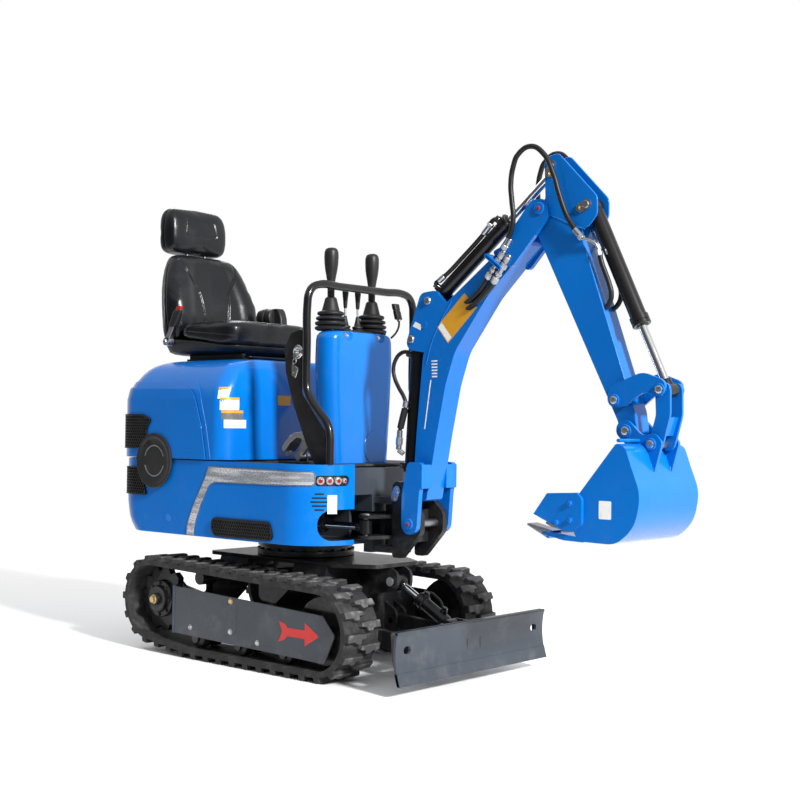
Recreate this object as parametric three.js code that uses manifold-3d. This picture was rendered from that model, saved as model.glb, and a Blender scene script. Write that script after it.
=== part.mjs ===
// Mini excavator of the one-tonne class: rubber tracks, dozer blade, swing boom, arm and bucket.
// Millimetres, +X forward, +Y left, +Z up. Lengths along X are measured from the slewing axis,
// and the whole machine is then moved so that its footprint is centred on the origin.
import * as THREE from "three";
import { mergeVertices } from "three/addons/utils/BufferGeometryUtils.js";
import Module from "manifold-3d";

const wasm = await Module();
wasm.setup();

// ---------- driving dimensions ----------
const FIT = 0.4; // gap between pieces that touch
const PIN_PLAY = 3; // side gap between an eye and its ears

// tracks
const TRACK_HALF = 410; // centre line to the outer face of a track
const SHOE_WIDTH = 170;
const IDLER_X = 452;
const SPROCKET_X = -452;
const SPROCKET_RISE = 27;
const REAR_GROUND_X = -230;
const BELT_RADIUS = 154;
const BELT_THICKNESS = 20;
const LUG_HEIGHT = 18;
const LUG_LENGTH = 30;
const LUG_COUNT = 38;
const ROLLER_RADIUS = 36;
const ROLLER_X = [-200, 40, 280];
const CARRIER_X = -215;
const CARRIER_RADIUS = 26;
const COVER_THICKNESS = 6;

// undercarriage
const FRAME_TOP = 386;
const FRAME_PLATE = 14;
const FRAME_HALF = 200;
const SLEW_RADIUS = 188;
const HOUSE_FLOOR = 458;

// blade
const BLADE_PIVOT = [345, 150];
const BLADE_TOP = [846, 216];
const BLADE_FOOT = [856, 40];
const BLADE_SAG = 14;
const BLADE_PLATE = 10;
const BLADE_ARM_Y = 145;
const BLADE_RAM_FRAME = [485, 322];
const BLADE_RAM_BLADE = [728, 186];

// house
const HOUSE_HALF = 385;
const HOUSE_FRONT = 430;
const TAIL_RADIUS = 763;
const FRONT_CORNER = 160;
const REAR_CORNER = 120;
const SHELL_WALL = 6;
const DECK_TOP = 746;
const HOOD_FRONT = -60;
const HOOD_TOP = 1138;
const COVER_TOP = 1052;
const MOUNT_HALF = 183;
const CONSOLE_BACK = 190;
const CONSOLE_FRONT = 300;
const CONSOLE_HALF = 182;
const CONSOLE_TOP = 1238;
const RAIL_RADIUS = 15;
const RAIL_HALF = 290;
const RAIL_TOP = 1400;

// seat
const SEAT_FLOOR = 1165;
const CUSHION_BOTTOM = 1228;
const CUSHION_TOP = 1294;
const CUSHION_HALF = 220;
const BACKREST_TOP = 1575;
const HEADREST_BOTTOM = 1600;
const HEADREST_TOP = 1798;

// front attachment, all pins run along Y except the swing pins
const SWING_AXIS = 475;
const SWING_LUG = [455, -150];
const SWING_RAM_BASE = [-85, -215];
const SWING_RAM_Z = 524;
const BOOM_FOOT = [613, 540];
const BOOM_RAM_FOOT = [537, 654];
const BOOM_RAM_HEAD = [569, 1200];
const ARM_RAM_BASE = [645, 1335];
const BOOM_TIP = [1138, 1615];
const ARM_RAM_HEAD = [1171, 1755];
const BUCKET_RAM_BASE = [1311, 1613];
const BUCKET_PIN = [1477, 881];
const ROCKER_PIN = [1434, 978];
const ROCKER_END = [1596, 1010];
const LINK_PIN = [1567, 841];
const BOOM_HALF = 44;
const ARM_HALF = 38;
const BUCKET_HALF = 180;
const BUCKET_WALL = 8;
const RAM_RADIUS = 27;
const ROD_RADIUS = 14;
const BORE_PLAY = 1;
const EYE_HALF = 28;
const COVER_PROUD = 8; // the rear cover overlaps the hood and stands out from it
const HOSE_RADIUS = 8;
const LINK_INNER = 32;
const EAR_INNER = 46;

// ---------- finishes ----------
const finish = (color, roughness, metalness) =>
  new THREE.MeshStandardMaterial({ color, roughness, metalness });
const BLUE = finish(0x1673d6, 0.35, 0.1);
const BLACK = finish(0x17181a, 0.5, 0.2);
const GREY = finish(0x4a5058, 0.45, 0.3);
const RUBBER = finish(0x1b1b1c, 0.85, 0);
const LEATHER = finish(0x1c1c1e, 0.55, 0);
const CHROME = finish(0xd5d8dc, 0.15, 1);

// ---------- geometry helpers ----------
function solid(geometry) {
  geometry.deleteAttribute("normal");
  geometry.deleteAttribute("uv");
  const merged = mergeVertices(geometry, 1e-4);
  return new wasm.Manifold(
    new wasm.Mesh({
      numProp: 3,
      vertProperties: merged.attributes.position.array,
      triVerts: new Uint32Array(merged.index.array),
    }),
  );
}

const join = (...solids) => solids.reduce((a, b) => a.add(b));
const cut = (body, ...tools) => tools.reduce((a, b) => a.subtract(b), body);
const sorted = (a, b) => [Math.min(a, b), Math.max(a, b)];

function block([x0, x1], [y0, y1], [z0, z1]) {
  const [ya, yb] = sorted(y0, y1);
  const box = new THREE.BoxGeometry(x1 - x0, yb - ya, z1 - z0);
  return solid(box.translate((x0 + x1) / 2, (ya + yb) / 2, (z0 + z1) / 2));
}

// An outline whose corners [x, y, radius] are rounded with true arcs.
function rounded(corners, steps = 3) {
  const points = [];
  corners.forEach(([x, y, radius = 0], i) => {
    const corner = new THREE.Vector2(x, y);
    if (!radius) {
      points.push(corner);
      return;
    }
    const [bx, by] = corners.at(i - 1);
    const [ax, ay] = corners[(i + 1) % corners.length];
    const back = new THREE.Vector2(bx, by).sub(corner).normalize();
    const ahead = new THREE.Vector2(ax, ay).sub(corner).normalize();
    const half = Math.acos(THREE.MathUtils.clamp(back.dot(ahead), -1, 1)) / 2;
    const toCentre = back.clone().add(ahead).normalize();
    const centre = corner.clone().addScaledVector(toCentre, radius / Math.sin(half));
    const start = corner.clone().addScaledVector(back, radius / Math.tan(half)).sub(centre);
    const end = corner.clone().addScaledVector(ahead, radius / Math.tan(half)).sub(centre);
    const sweep = Math.atan2(start.cross(end), start.dot(end));
    for (let k = 0; k <= steps; k++) {
      const turned = start.clone().rotateAround(new THREE.Vector2(), (sweep * k) / steps);
      points.push(turned.add(centre));
    }
  });
  return points;
}

function extrude(points, depth) {
  return new THREE.ExtrudeGeometry(new THREE.Shape(points), { depth, bevelEnabled: false });
}

// A plate whose outline lies in the XZ plane and which is thick along Y.
function plateXZ(points, y0, y1) {
  const [ya, yb] = sorted(y0, y1);
  return solid(extrude(points, yb - ya).rotateX(Math.PI / 2).translate(0, yb, 0));
}

// A plate whose outline lies in the XY plane.
const plateXY = (points, z0, z1) => solid(extrude(points, z1 - z0).translate(0, 0, z0));

// A bar whose outline lies in the YZ plane and which runs along X.
function barX(points, x0, x1) {
  const bar = extrude(points, x1 - x0);
  return solid(bar.rotateY(Math.PI / 2).rotateX(Math.PI / 2).translate(x0, 0, 0));
}

function rod(from, to, radius, sides = 14, endRadius = radius) {
  const a = new THREE.Vector3(...from);
  const b = new THREE.Vector3(...to);
  const shaft = new THREE.CylinderGeometry(endRadius, radius, a.distanceTo(b), sides);
  const turn = new THREE.Quaternion().setFromUnitVectors(
    new THREE.Vector3(0, 1, 0),
    b.clone().sub(a).normalize(),
  );
  const middle = a.add(b).multiplyScalar(0.5);
  return solid(shaft.applyQuaternion(turn).translate(middle.x, middle.y, middle.z));
}

const pinY = ([x, z], y0, y1, radius, sides = 14) => rod([x, y0, z], [x, y1, z], radius, sides);

// A tube of round section along a smooth curve through the points.
function tube(points, radius, steps, sides = 10, tension = 0.5) {
  const path = new THREE.CatmullRomCurve3(
    points.map((p) => new THREE.Vector3(...p)),
    false,
    "catmullrom",
    tension,
  );
  const section = new THREE.Shape();
  for (let i = 0; i < sides; i++) {
    const angle = (2 * Math.PI * i) / sides;
    const place = [radius * Math.cos(angle), radius * Math.sin(angle)];
    if (i === 0) section.moveTo(...place);
    else section.lineTo(...place);
  }
  section.closePath();
  return solid(new THREE.ExtrudeGeometry(section, { steps, extrudePath: path, bevelEnabled: false }));
}

// A closed body through level outlines of equal point count, from the lowest to the highest.
function loft(sections) {
  const count = sections[0].points.length;
  const vertices = sections.flatMap(({ z, points }) => points.map((p) => [p.x, p.y, z]));
  const faces = [];
  for (let level = 0; level + 1 < sections.length; level++) {
    for (let i = 0; i < count; i++) {
      const a = level * count + i;
      const b = level * count + ((i + 1) % count);
      faces.push([a, b, b + count], [a, b + count, a + count]);
    }
  }
  const bottom = THREE.ShapeUtils.triangulateShape(sections[0].points, []);
  const top = THREE.ShapeUtils.triangulateShape(sections.at(-1).points, []);
  const last = (sections.length - 1) * count;
  bottom.forEach(([a, b, c]) => faces.push([a, c, b]));
  top.forEach(([a, b, c]) => faces.push([last + a, last + b, last + c]));
  const geometry = new THREE.BufferGeometry();
  geometry.setAttribute("position", new THREE.Float32BufferAttribute(vertices.flat(), 3));
  geometry.setIndex(faces.flat());
  return solid(geometry);
}

function revolve(profile, [x, y, z], sides = 20) {
  const points = profile.map(([r, h]) => new THREE.Vector2(r, h));
  return solid(new THREE.LatheGeometry(points, sides).rotateX(Math.PI / 2).translate(x, y, z));
}

const mirrored = (body) => body.mirror([0, 1, 0]);

// ---------- scene graph helpers ----------
const machine = new THREE.Group();

function addNode(name, body, material) {
  const { vertProperties, triVerts } = body.getMesh();
  const geometry = new THREE.BufferGeometry();
  geometry.setAttribute("position", new THREE.BufferAttribute(vertProperties, 3));
  geometry.setIndex(new THREE.BufferAttribute(triVerts, 1));
  geometry.computeVertexNormals();
  const mesh = new THREE.Mesh(geometry, material);
  mesh.name = name;
  machine.add(mesh);
}

// A node on the right side of the machine and its mirror image on the left.
function addPair(name, body, material) {
  addNode(name + "_right", body, material);
  addNode(name + "_left", mirrored(body), material);
}

// ---------- tracks ----------
const IDLER_Z = BELT_RADIUS + LUG_HEIGHT;
const SPROCKET_Z = IDLER_Z + SPROCKET_RISE;
const TRACK_INNER = TRACK_HALF - SHOE_WIDTH;

// The belt's neutral loop, as arcs round its three corners and the straights between them.
function beltSegments() {
  const corners = [
    new THREE.Vector2(IDLER_X, IDLER_Z),
    new THREE.Vector2(SPROCKET_X, SPROCKET_Z),
    new THREE.Vector2(REAR_GROUND_X, IDLER_Z),
  ];
  const outward = (from, to) => Math.atan2(-(to.x - from.x), to.y - from.y);
  const segments = [];
  corners.forEach((centre, i) => {
    const before = corners.at(i - 1);
    const after = corners[(i + 1) % corners.length];
    const start = outward(before, centre);
    const end = outward(centre, after);
    const sweep = THREE.MathUtils.euclideanModulo(end - start, 2 * Math.PI);
    segments.push({ centre, start, sweep, length: BELT_RADIUS * sweep });
    segments.push({ centre, after, angle: end, length: centre.distanceTo(after) });
  });
  return segments;
}

const BELT = beltSegments();
const BELT_LENGTH = BELT.reduce((sum, segment) => sum + segment.length, 0);
const LUG_PITCH = BELT_LENGTH / LUG_COUNT;

// The point at a distance along the belt, moved outwards from its outer face by offset.
function beltPoint(distance, offset) {
  let left = THREE.MathUtils.euclideanModulo(distance, BELT_LENGTH);
  let index = 0;
  while (left > BELT[index].length) {
    left -= BELT[index].length;
    index += 1;
  }
  const { centre, after, start, angle, sweep, length } = BELT[index];
  const along = left / length;
  const base = after ? centre.clone().lerp(after, along) : centre.clone();
  const facing = after ? angle : start + sweep * along;
  const reach = BELT_RADIUS + offset;
  return base.add(new THREE.Vector2(reach * Math.cos(facing), reach * Math.sin(facing)));
}

function trackBelt() {
  const outer = [];
  const inner = [];
  const slope = 4;
  for (let i = 0; i < LUG_COUNT; i++) {
    const start = i * LUG_PITCH;
    outer.push(
      beltPoint(start, 0),
      beltPoint(start + slope, LUG_HEIGHT),
      beltPoint(start + LUG_LENGTH - slope, LUG_HEIGHT),
      beltPoint(start + LUG_LENGTH, 0),
    );
    inner.push(beltPoint(start, -BELT_THICKNESS));
  }
  const shape = new THREE.Shape(outer);
  shape.holes.push(new THREE.Path(inner));
  const ring = new THREE.ExtrudeGeometry(shape, { depth: SHOE_WIDTH, bevelEnabled: false });
  return solid(ring.rotateX(Math.PI / 2).translate(0, -TRACK_INNER, 0));
}

const MOTOR_INNER = -(TRACK_INNER + 22);
const WHEEL_OUTER = -(TRACK_HALF - 24);

function sprocket() {
  const teeth = 11;
  const tip = BELT_RADIUS - BELT_THICKNESS - 6;
  const root = tip - 18;
  const outline = [];
  for (let i = 0; i < teeth; i++) {
    for (const [share, radius] of [[0, root], [0.4, tip], [0.8, tip]]) {
      const angle = (2 * Math.PI * (i + share)) / teeth;
      outline.push(new THREE.Vector2(radius * Math.cos(angle) + SPROCKET_X, radius * Math.sin(angle) + SPROCKET_Z));
    }
  }
  const place = [SPROCKET_X, SPROCKET_Z];
  return join(
    plateXZ(outline, -340, -312),
    pinY(place, MOTOR_INNER, -356, 72, 18),
    pinY(place, -356, -372, 52, 18),
    pinY(place, -372, WHEEL_OUTER, 22, 8),
  );
}

function idler() {
  const place = [IDLER_X, IDLER_Z];
  const rim = BELT_RADIUS - BELT_THICKNESS - 4;
  return join(
    pinY(place, -296, -354, rim - 8, 24),
    pinY(place, -316, -334, rim, 24),
    pinY(place, MOTOR_INNER, WHEEL_OUTER, 38, 12),
  );
}

const ROLLER_Z = LUG_HEIGHT + BELT_THICKNESS + ROLLER_RADIUS + 1;
const CARRIER_STRIP_Y = -286;

function rollers() {
  const strip = block([ROLLER_X[0] - 60, ROLLER_X[2] + 40], [CARRIER_STRIP_Y - 12, CARRIER_STRIP_Y], [60, 106]);
  const set = ROLLER_X.map((x) => pinY([x, ROLLER_Z], MOTOR_INNER - 6, WHEEL_OUTER, ROLLER_RADIUS, 12));
  return join(strip, ...set);
}

function sideCover() {
  const outer = -(TRACK_HALF - 18);
  const outline = rounded([
    [-320, 86],
    [496, 66, 20],
    [544, 170, 20],
    [486, 234, 20],
    [-320, 266],
  ]);
  const plate = plateXZ(outline, outer, outer + COVER_THICKNESS);
  const rearFlange = block([-320, -312], [outer, outer + 42], [86, 266]);
  return join(plate, rearFlange);
}

// ---------- centre frame of the undercarriage ----------
const BEAM_OUTER = -338;
const BEAM_INNER = -300;

function frameArch(x0, x1) {
  const legTop = FRAME_TOP - FRAME_PLATE;
  const outside = [[-300, 118], [-300, 226], [-232, 272], [-FRAME_HALF, legTop]];
  const inside = [[-FRAME_HALF + 30, legTop - 20], [-208, 256], [-274, 206], [-274, 118]];
  const across = (points) => points.map(([y, z]) => [-y, z]).reverse();
  const outline = [...outside, ...across(outside), ...across(inside), ...inside];
  return barX(outline.map(([y, z]) => new THREE.Vector2(y, z)), x0, x1);
}

function trackFrame() {
  const beam = block([-318, 312], [BEAM_OUTER, BEAM_INNER], [112, 226]);
  const motorPlate = plateXZ(
    rounded([[-540, 130, 30], [-300, 120], [-300, 226], [-540, 268, 30]]),
    MOTOR_INNER + 14,
    MOTOR_INNER + FIT,
  );
  const motorRib = block([-318, -300], [BEAM_OUTER, MOTOR_INNER + 14], [120, 226]);
  const carrierZ = 299;
  const carrier = pinY([CARRIER_X, carrierZ], -290, -356, CARRIER_RADIUS);
  const carrierFoot = block([CARRIER_X - 12, CARRIER_X + 12], [-312, -300], [220, carrierZ]);
  const side = join(beam, motorPlate, motorRib, carrier, carrierFoot);
  const topPlate = plateXY(
    rounded([[-345, -FRAME_HALF, 30], [345, -FRAME_HALF, 60], [480, -112, 20], [480, 112, 20], [345, FRAME_HALF, 60], [-345, FRAME_HALF, 30]]),
    FRAME_TOP - FRAME_PLATE,
    FRAME_TOP,
  );
  const cheekOutline = rounded([
    [BLADE_RAM_FRAME[0] + 30, BLADE_RAM_FRAME[1] - 30, 28],
    [BLADE_RAM_FRAME[0] + 30, BLADE_RAM_FRAME[1] + 34, 28],
    [460, FRAME_TOP - 4],
    [306, FRAME_TOP - 4],
    [306, 250],
  ]);
  const cheekY = EYE_HALF + PIN_PLAY;
  const cheek = plateXZ(cheekOutline, -cheekY, -cheekY - 12);
  const lugOutline = rounded([[300, 112], [372, 112, 30], [372, 190, 30], [300, 226]]);
  const armGap = 16 + PIN_PLAY;
  const lugs = [
    plateXZ(lugOutline, -(BLADE_ARM_Y - armGap), -(BLADE_ARM_Y - armGap - 12)),
    plateXZ(lugOutline, -(BLADE_ARM_Y + armGap), -(BLADE_ARM_Y + armGap + 12)),
  ];
  const frontBeam = block([294, 312], [-300, 300], [112, 226]);
  const frontWall = barX(
    [[-272, 200], [272, 200], [FRAME_HALF - 10, 376], [-FRAME_HALF + 10, 376]].map(([y, z]) => new THREE.Vector2(y, z)),
    298,
    312,
  );
  const half = join(side, cheek, ...lugs);
  return join(
    half,
    mirrored(half),
    frameArch(-270, -110),
    frameArch(140, 312),
    topPlate,
    frontBeam,
    frontWall,
  );
}

const slewRing = () => rod([0, 0, FRAME_TOP + FIT], [0, 0, HOUSE_FLOOR - FIT], SLEW_RADIUS, 40);

// ---------- blade ----------
function blade() {
  const steps = 4;
  const front = [];
  for (let i = 0; i <= steps; i++) {
    const share = i / steps;
    const x = THREE.MathUtils.lerp(BLADE_TOP[0], BLADE_FOOT[0], share);
    const z = THREE.MathUtils.lerp(BLADE_TOP[1], BLADE_FOOT[1], share);
    front.push(new THREE.Vector2(x - BLADE_SAG * 4 * share * (1 - share), z));
  }
  const back = front.map((p) => new THREE.Vector2(p.x - BLADE_PLATE, p.y)).reverse();
  const board = plateXZ([...front, ...back], -TRACK_HALF, TRACK_HALF);
  const flange = block([BLADE_TOP[0] - 28, BLADE_TOP[0]], [-TRACK_HALF, TRACK_HALF], [BLADE_TOP[1] - 10, BLADE_TOP[1]]);
  const edge = plateXZ(
    [[BLADE_FOOT[0] - 12, BLADE_FOOT[1]], [BLADE_FOOT[0] + 2, BLADE_FOOT[1]], [BLADE_FOOT[0] - 4, BLADE_FOOT[1] + 44], [BLADE_FOOT[0] - 14, BLADE_FOOT[1] + 44]].map(([x, z]) => new THREE.Vector2(x, z)),
    -TRACK_HALF,
    TRACK_HALF,
  );
  const rear = BLADE_TOP[0] - BLADE_PLATE;
  const armOutline = rounded([
    [BLADE_PIVOT[0] - 26, BLADE_PIVOT[1] - 26, 25],
    [rear + 2, 70],
    [rear - 4, 160],
    [rear - 60, 150],
    [BLADE_PIVOT[0] - 26, BLADE_PIVOT[1] + 26, 25],
  ]);
  const arm = plateXZ(armOutline, -(BLADE_ARM_Y - 16), -(BLADE_ARM_Y + 16));
  const cheekY = EYE_HALF + PIN_PLAY;
  const cheekOutline = rounded([
    [BLADE_RAM_BLADE[0] - 24, BLADE_RAM_BLADE[1] - 24, 22],
    [rear + 2, 110],
    [rear + 2, 204],
    [BLADE_RAM_BLADE[0] - 24, BLADE_RAM_BLADE[1] + 24, 22],
  ]);
  const cheek = plateXZ(cheekOutline, -cheekY, -cheekY - 10);
  const crossTube = rod([620, -BLADE_ARM_Y, 124], [620, BLADE_ARM_Y, 124], 22);
  const slotHole = (y) => {
    const hole = extrude(rounded([[y - 18, 140, 12], [y + 18, 140, 12], [y + 18, 166, 12], [y - 18, 166, 12]]), 120);
    return solid(hole.rotateY(Math.PI / 2).rotateX(Math.PI / 2).translate(800, 0, 0));
  };
  const body = join(board, flange, edge, arm, mirrored(arm), cheek, mirrored(cheek), crossTube);
  return cut(body, slotHole(-352), slotHole(352));
}

// ---------- hydraulic rams ----------
// Both pieces of a ram lie in a vertical plane. The barrel holds a bore that the rod slides in.
// The rod starts inside the barrel and can go back further by the length given as back.
function ramPieces(ram) {
  const { base, head, barrel, inside, back, along = "XZ", level = 0 } = ram;
  const { radius = RAM_RADIUS, rodRadius = ROD_RADIUS } = ram;
  const place = along === "XZ" ? ([u, v]) => [u, level, v] : ([u, v]) => [u, v, level];
  const from = new THREE.Vector3(...place(base));
  const to = new THREE.Vector3(...place(head));
  const direction = to.clone().sub(from).normalize();
  const at = (distance) => from.clone().addScaledVector(direction, distance).toArray();
  const length = from.distanceTo(to);
  const eyeAxis = along === "XZ" ? [0, EYE_HALF, 0] : [0, 0, EYE_HALF];
  const eye = (centre, eyeRadius) => {
    const ends = [-1, 1].map((side) => centre.map((value, i) => value + side * eyeAxis[i]));
    return rod(ends[0], ends[1], eyeRadius, 14);
  };
  const bore = rod(at(barrel - inside - back), at(barrel + 30), rodRadius + BORE_PLAY, 12);
  const body = join(
    rod(at(radius * 0.75), at(barrel - 1), radius, 16),
    rod(at(barrel - 30), at(barrel), radius + 4, 16),
    eye(at(0), radius * 0.95),
    rod(at(0), at(radius), radius * 0.6, 8),
  );
  const shaft = join(
    rod(at(barrel - inside), at(length - 6), rodRadius, 12),
    rod(at(length - 34), at(length - 6), rodRadius + 5, 12),
    eye(at(length), 23),
  );
  return { body: cut(body, bore), shaft };
}

function addRam(name, options) {
  const { body, shaft } = ramPieces(options);
  addNode(name + "_cylinder", body, BLACK);
  addNode(name + "_rod", shaft, CHROME);
}

// ---------- house ----------
// The house in plan: flat front, straight sides, and a tail that is an arc about the slewing axis.
function housePlan({ front = HOUSE_FRONT, half = HOUSE_HALF, tail = TAIL_RADIUS, corner = FRONT_CORNER }) {
  const arc = (cx, cy, radius, a0, a1, steps) => {
    const points = [];
    for (let i = 0; i <= steps; i++) {
      const angle = a0 + ((a1 - a0) * i) / steps;
      points.push(new THREE.Vector2(cx + radius * Math.cos(angle), cy + radius * Math.sin(angle)));
    }
    return points;
  };
  const cy = half - REAR_CORNER;
  const cx = -Math.sqrt((tail - REAR_CORNER) ** 2 - cy ** 2);
  const tailAngle = Math.atan2(cy, cx);
  const left = [
    ...arc(front - corner, half - corner, corner, 0, Math.PI / 2, 5),
    ...arc(cx, cy, REAR_CORNER, Math.PI / 2, tailAngle, 4),
    ...arc(0, 0, tail, tailAngle, Math.PI, 5),
  ];
  const right = left.slice(0, -1).reverse().map((p) => new THREE.Vector2(p.x, -p.y));
  return [...left, ...right];
}

function lowerLevels(inset) {
  return [
    { z: HOUSE_FLOOR + 4, sink: 46 },
    { z: 520, sink: 10 },
    { z: 580, sink: 0 },
    { z: DECK_TOP + 2, sink: 0 },
  ].map(({ z, sink }) => ({
    z,
    points: housePlan({
      front: HOUSE_FRONT - inset,
      half: HOUSE_HALF - inset,
      tail: TAIL_RADIUS - inset - sink,
      corner: FRONT_CORNER - inset,
    }),
  }));
}

function stretched(levels, below, above) {
  const grown = levels.map((level) => ({ ...level }));
  grown[0].z -= below;
  grown.at(-1).z += above;
  return grown;
}

function lowerShell() {
  const wall = cut(loft(lowerLevels(0)), loft(stretched(lowerLevels(SHELL_WALL), 20, 20)));
  const frontGap = block([HOUSE_FRONT - 90, HOUSE_FRONT + 20], [-MOUNT_HALF, MOUNT_HALF], [HOUSE_FLOOR - 30, DECK_TOP + 40]);
  const swingGap = rounded([[-330, 478, 40], [-100, 478], [-100, 588], [-330, 588, 40]]);
  const ramPort = solid(
    extrude(swingGap, 120).rotateY(Math.PI / 2).rotateX(Math.PI / 2).translate(HOUSE_FRONT - 70, 0, 0),
  );
  return cut(wall, frontGap, ramPort);
}

const hoodLevels = (inset) =>
  [
    { z: DECK_TOP + 6, sink: 0 },
    { z: 980, sink: 0 },
    { z: COVER_TOP, sink: 24 },
    { z: 1100, sink: 62 },
    { z: 1126, sink: 106 },
    { z: HOOD_TOP, sink: 164 },
  ].map(({ z, sink }) => ({
    z,
    points: housePlan({
      front: HOOD_FRONT - inset - sink * 0.3,
      half: HOUSE_HALF - inset - sink,
      tail: TAIL_RADIUS - inset - sink,
      corner: 60,
    }),
  }));

function hoodShell() {
  const inner = hoodLevels(SHELL_WALL).map((level) => ({ ...level }));
  inner[0].z -= 30;
  inner.at(-1).z -= SHELL_WALL;
  inner.at(-2).z -= SHELL_WALL * 0.7;
  return cut(loft(hoodLevels(0)), loft(inner));
}

// The arched region that the rear cover fills, seen from the side and grown by a gap.
const rearCoverRegion = (gap) =>
  plateXZ(
    rounded(
      [
        [-TAIL_RADIUS - 100, DECK_TOP - 40],
        [-112 + gap, DECK_TOP - 40],
        [-150 + gap, 880, 200],
        [-205 + gap, COVER_TOP + gap, 90],
        [-TAIL_RADIUS - 100, COVER_TOP + gap],
      ],
      6,
    ),
    -HOUSE_HALF - 50,
    HOUSE_HALF + 50,
  );

// The rear cover's skin lies outside the hood, so that its sides pass the hood as it opens.
function rearCover() {
  const levels = (inset) =>
    hoodLevels(inset).slice(0, 4).map((level, i) => (i === 3 ? { ...level, z: level.z + 20 } : level));
  const shell = cut(loft(levels(-COVER_PROUD)), loft(stretched(levels(-COVER_PROUD + 5), 30, 30)));
  return shell.intersect(rearCoverRegion(0));
}

function houseFrame() {
  const floor = plateXY(
    rounded([[-500, -300, 60], [400, -300, 60], [400, 300, 60], [-500, 300, 60]]),
    HOUSE_FLOOR,
    HOUSE_FLOOR + 12,
  );
  const beam = block([372, 412], [-MOUNT_HALF + 3, MOUNT_HALF - 3], [636, DECK_TOP - 12]);
  const post = block([372, 412], [-70, 70], [424, 640]);
  const web = block([120, 380], [-70, -58], [HOUSE_FLOOR + 6, DECK_TOP - 20]);
  const lug = rounded([[372, -70], [SWING_AXIS - 20, -52, 10], [SWING_AXIS + 50, -52, 48], [SWING_AXIS + 50, 52, 48], [SWING_AXIS - 20, 52, 10], [372, 70]]);
  const ramFoot = (z0, z1) => plateXY(
    rounded([[SWING_RAM_BASE[0] - 90, -250, 10], [SWING_RAM_BASE[0] + 26, -250, 25], [SWING_RAM_BASE[0] + 26, -180, 25], [SWING_RAM_BASE[0] - 90, -180, 10]]),
    z0,
    z1,
  );
  const ear = EYE_HALF + PIN_PLAY;
  const ramPost = block([SWING_RAM_BASE[0] - 90, SWING_RAM_BASE[0] - 50], [-250, -180], [HOUSE_FLOOR + 6, SWING_RAM_Z + ear + 10]);
  const lugWay = block([298, 413], [-80, 18], [SWING_RAM_Z - ear - 18, SWING_RAM_Z + ear + 18]);
  return join(
    floor,
    beam,
    cut(join(post, web, mirrored(web)), lugWay),
    plateXY(lug, 604, 628),
    plateXY(lug, 426, 450),
    ramPost,
    ramFoot(SWING_RAM_Z - ear - 10, SWING_RAM_Z - ear),
    ramFoot(SWING_RAM_Z + ear, SWING_RAM_Z + ear + 10),
  );
}

function deck() {
  const plan = housePlan({
    front: 368,
    half: HOUSE_HALF - SHELL_WALL - 1,
    tail: TAIL_RADIUS - SHELL_WALL - 1,
    corner: FRONT_CORNER - SHELL_WALL - 1,
  });
  const sheet = plateXY(plan, DECK_TOP - 10, DECK_TOP);
  const rearHalf = block([-800, HOOD_FRONT - 90], [-500, 500], [DECK_TOP - 40, DECK_TOP + 40]);
  return cut(sheet, rearHalf);
}

function counterweight() {
  const plan = lowerLevels(SHELL_WALL + 6);
  const body = loft(plan.map((level) => ({ ...level, z: Math.max(level.z, HOUSE_FLOOR + 4) })));
  const keep = block([-763, -575], [-270, 270], [HOUSE_FLOOR + 16, DECK_TOP - 30]);
  return body.intersect(keep);
}

const engine = () => block([-490, -170], [-180, 180], [HOUSE_FLOOR + 12 + FIT, 1010]);

function console_() {
  const level = (z, inset, half) => ({
    z,
    points: rounded(
      [
        [CONSOLE_BACK + inset, -half + inset, 50],
        [CONSOLE_FRONT - inset, -half + inset, 50],
        [CONSOLE_FRONT - inset, half - inset, 50],
        [CONSOLE_BACK + inset, half - inset, 50],
      ],
      5,
    ),
  });
  return loft([
    level(DECK_TOP + FIT, 0, CONSOLE_HALF - 22),
    level(950, 0, CONSOLE_HALF - 8),
    level(1130, 0, CONSOLE_HALF),
    level(1205, 0, CONSOLE_HALF - 3),
    level(1228, 3, CONSOLE_HALF - 10),
    level(CONSOLE_TOP, 5, CONSOLE_HALF - 26),
  ]);
}

function controlLevers() {
  const x = 228;
  const base = CONSOLE_TOP + FIT;
  const plate = block([x - 34, x + 44], [-150, 150], [base, base + 6]);
  const boot = [[0, 0], [52, 0], [54, 20], [30, 66], [24, 92], [11, 104], [11, 150], [22, 170], [21, 268], [28, 290], [18, 306], [0, 308]];
  const small = [[0, 0], [24, 0], [26, 12], [14, 22], [6, 60], [6, 92], [12, 96], [12, 156], [0, 158]];
  const main = [-112, 112].map((y) => revolve(boot, [x, y, base + 4], 9));
  const minor = [-34, 34].map((y) => revolve(small, [x, y, base + 4], 8));
  return join(plate, ...main, ...minor);
}

function handrail() {
  const half = [
    [408, 1, DECK_TOP + 2 + FIT],
    [408, 1, 850],
    [395, 1, 890],
    [302, 1, 990],
    [285, 1, 1030],
    [285, 1, 1330],
    [287, 0.97, RAIL_TOP - 18],
    [288, 0.9, RAIL_TOP],
  ].map(([x, share, z]) => [x, share * RAIL_HALF, z]);
  const points = [
    ...half.map(([x, y, z]) => [x, -y, z]),
    ...half.reverse(),
  ];
  return tube(points, RAIL_RADIUS, 48, 7, 0.3);
}

function keyPanel() {
  const outline = rounded([
    [335, DECK_TOP + FIT],
    [388, DECK_TOP + FIT],
    [388, 862, 30],
    [262, 1000, 30],
    [262, 1236, 10],
    [205, 1222, 30],
    [172, 1170, 30],
    [180, 1080, 30],
    [222, 960, 60],
    [300, 800, 40],
  ]);
  return plateXZ(outline, -RAIL_HALF - 4, -RAIL_HALF + 4);
}

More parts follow.
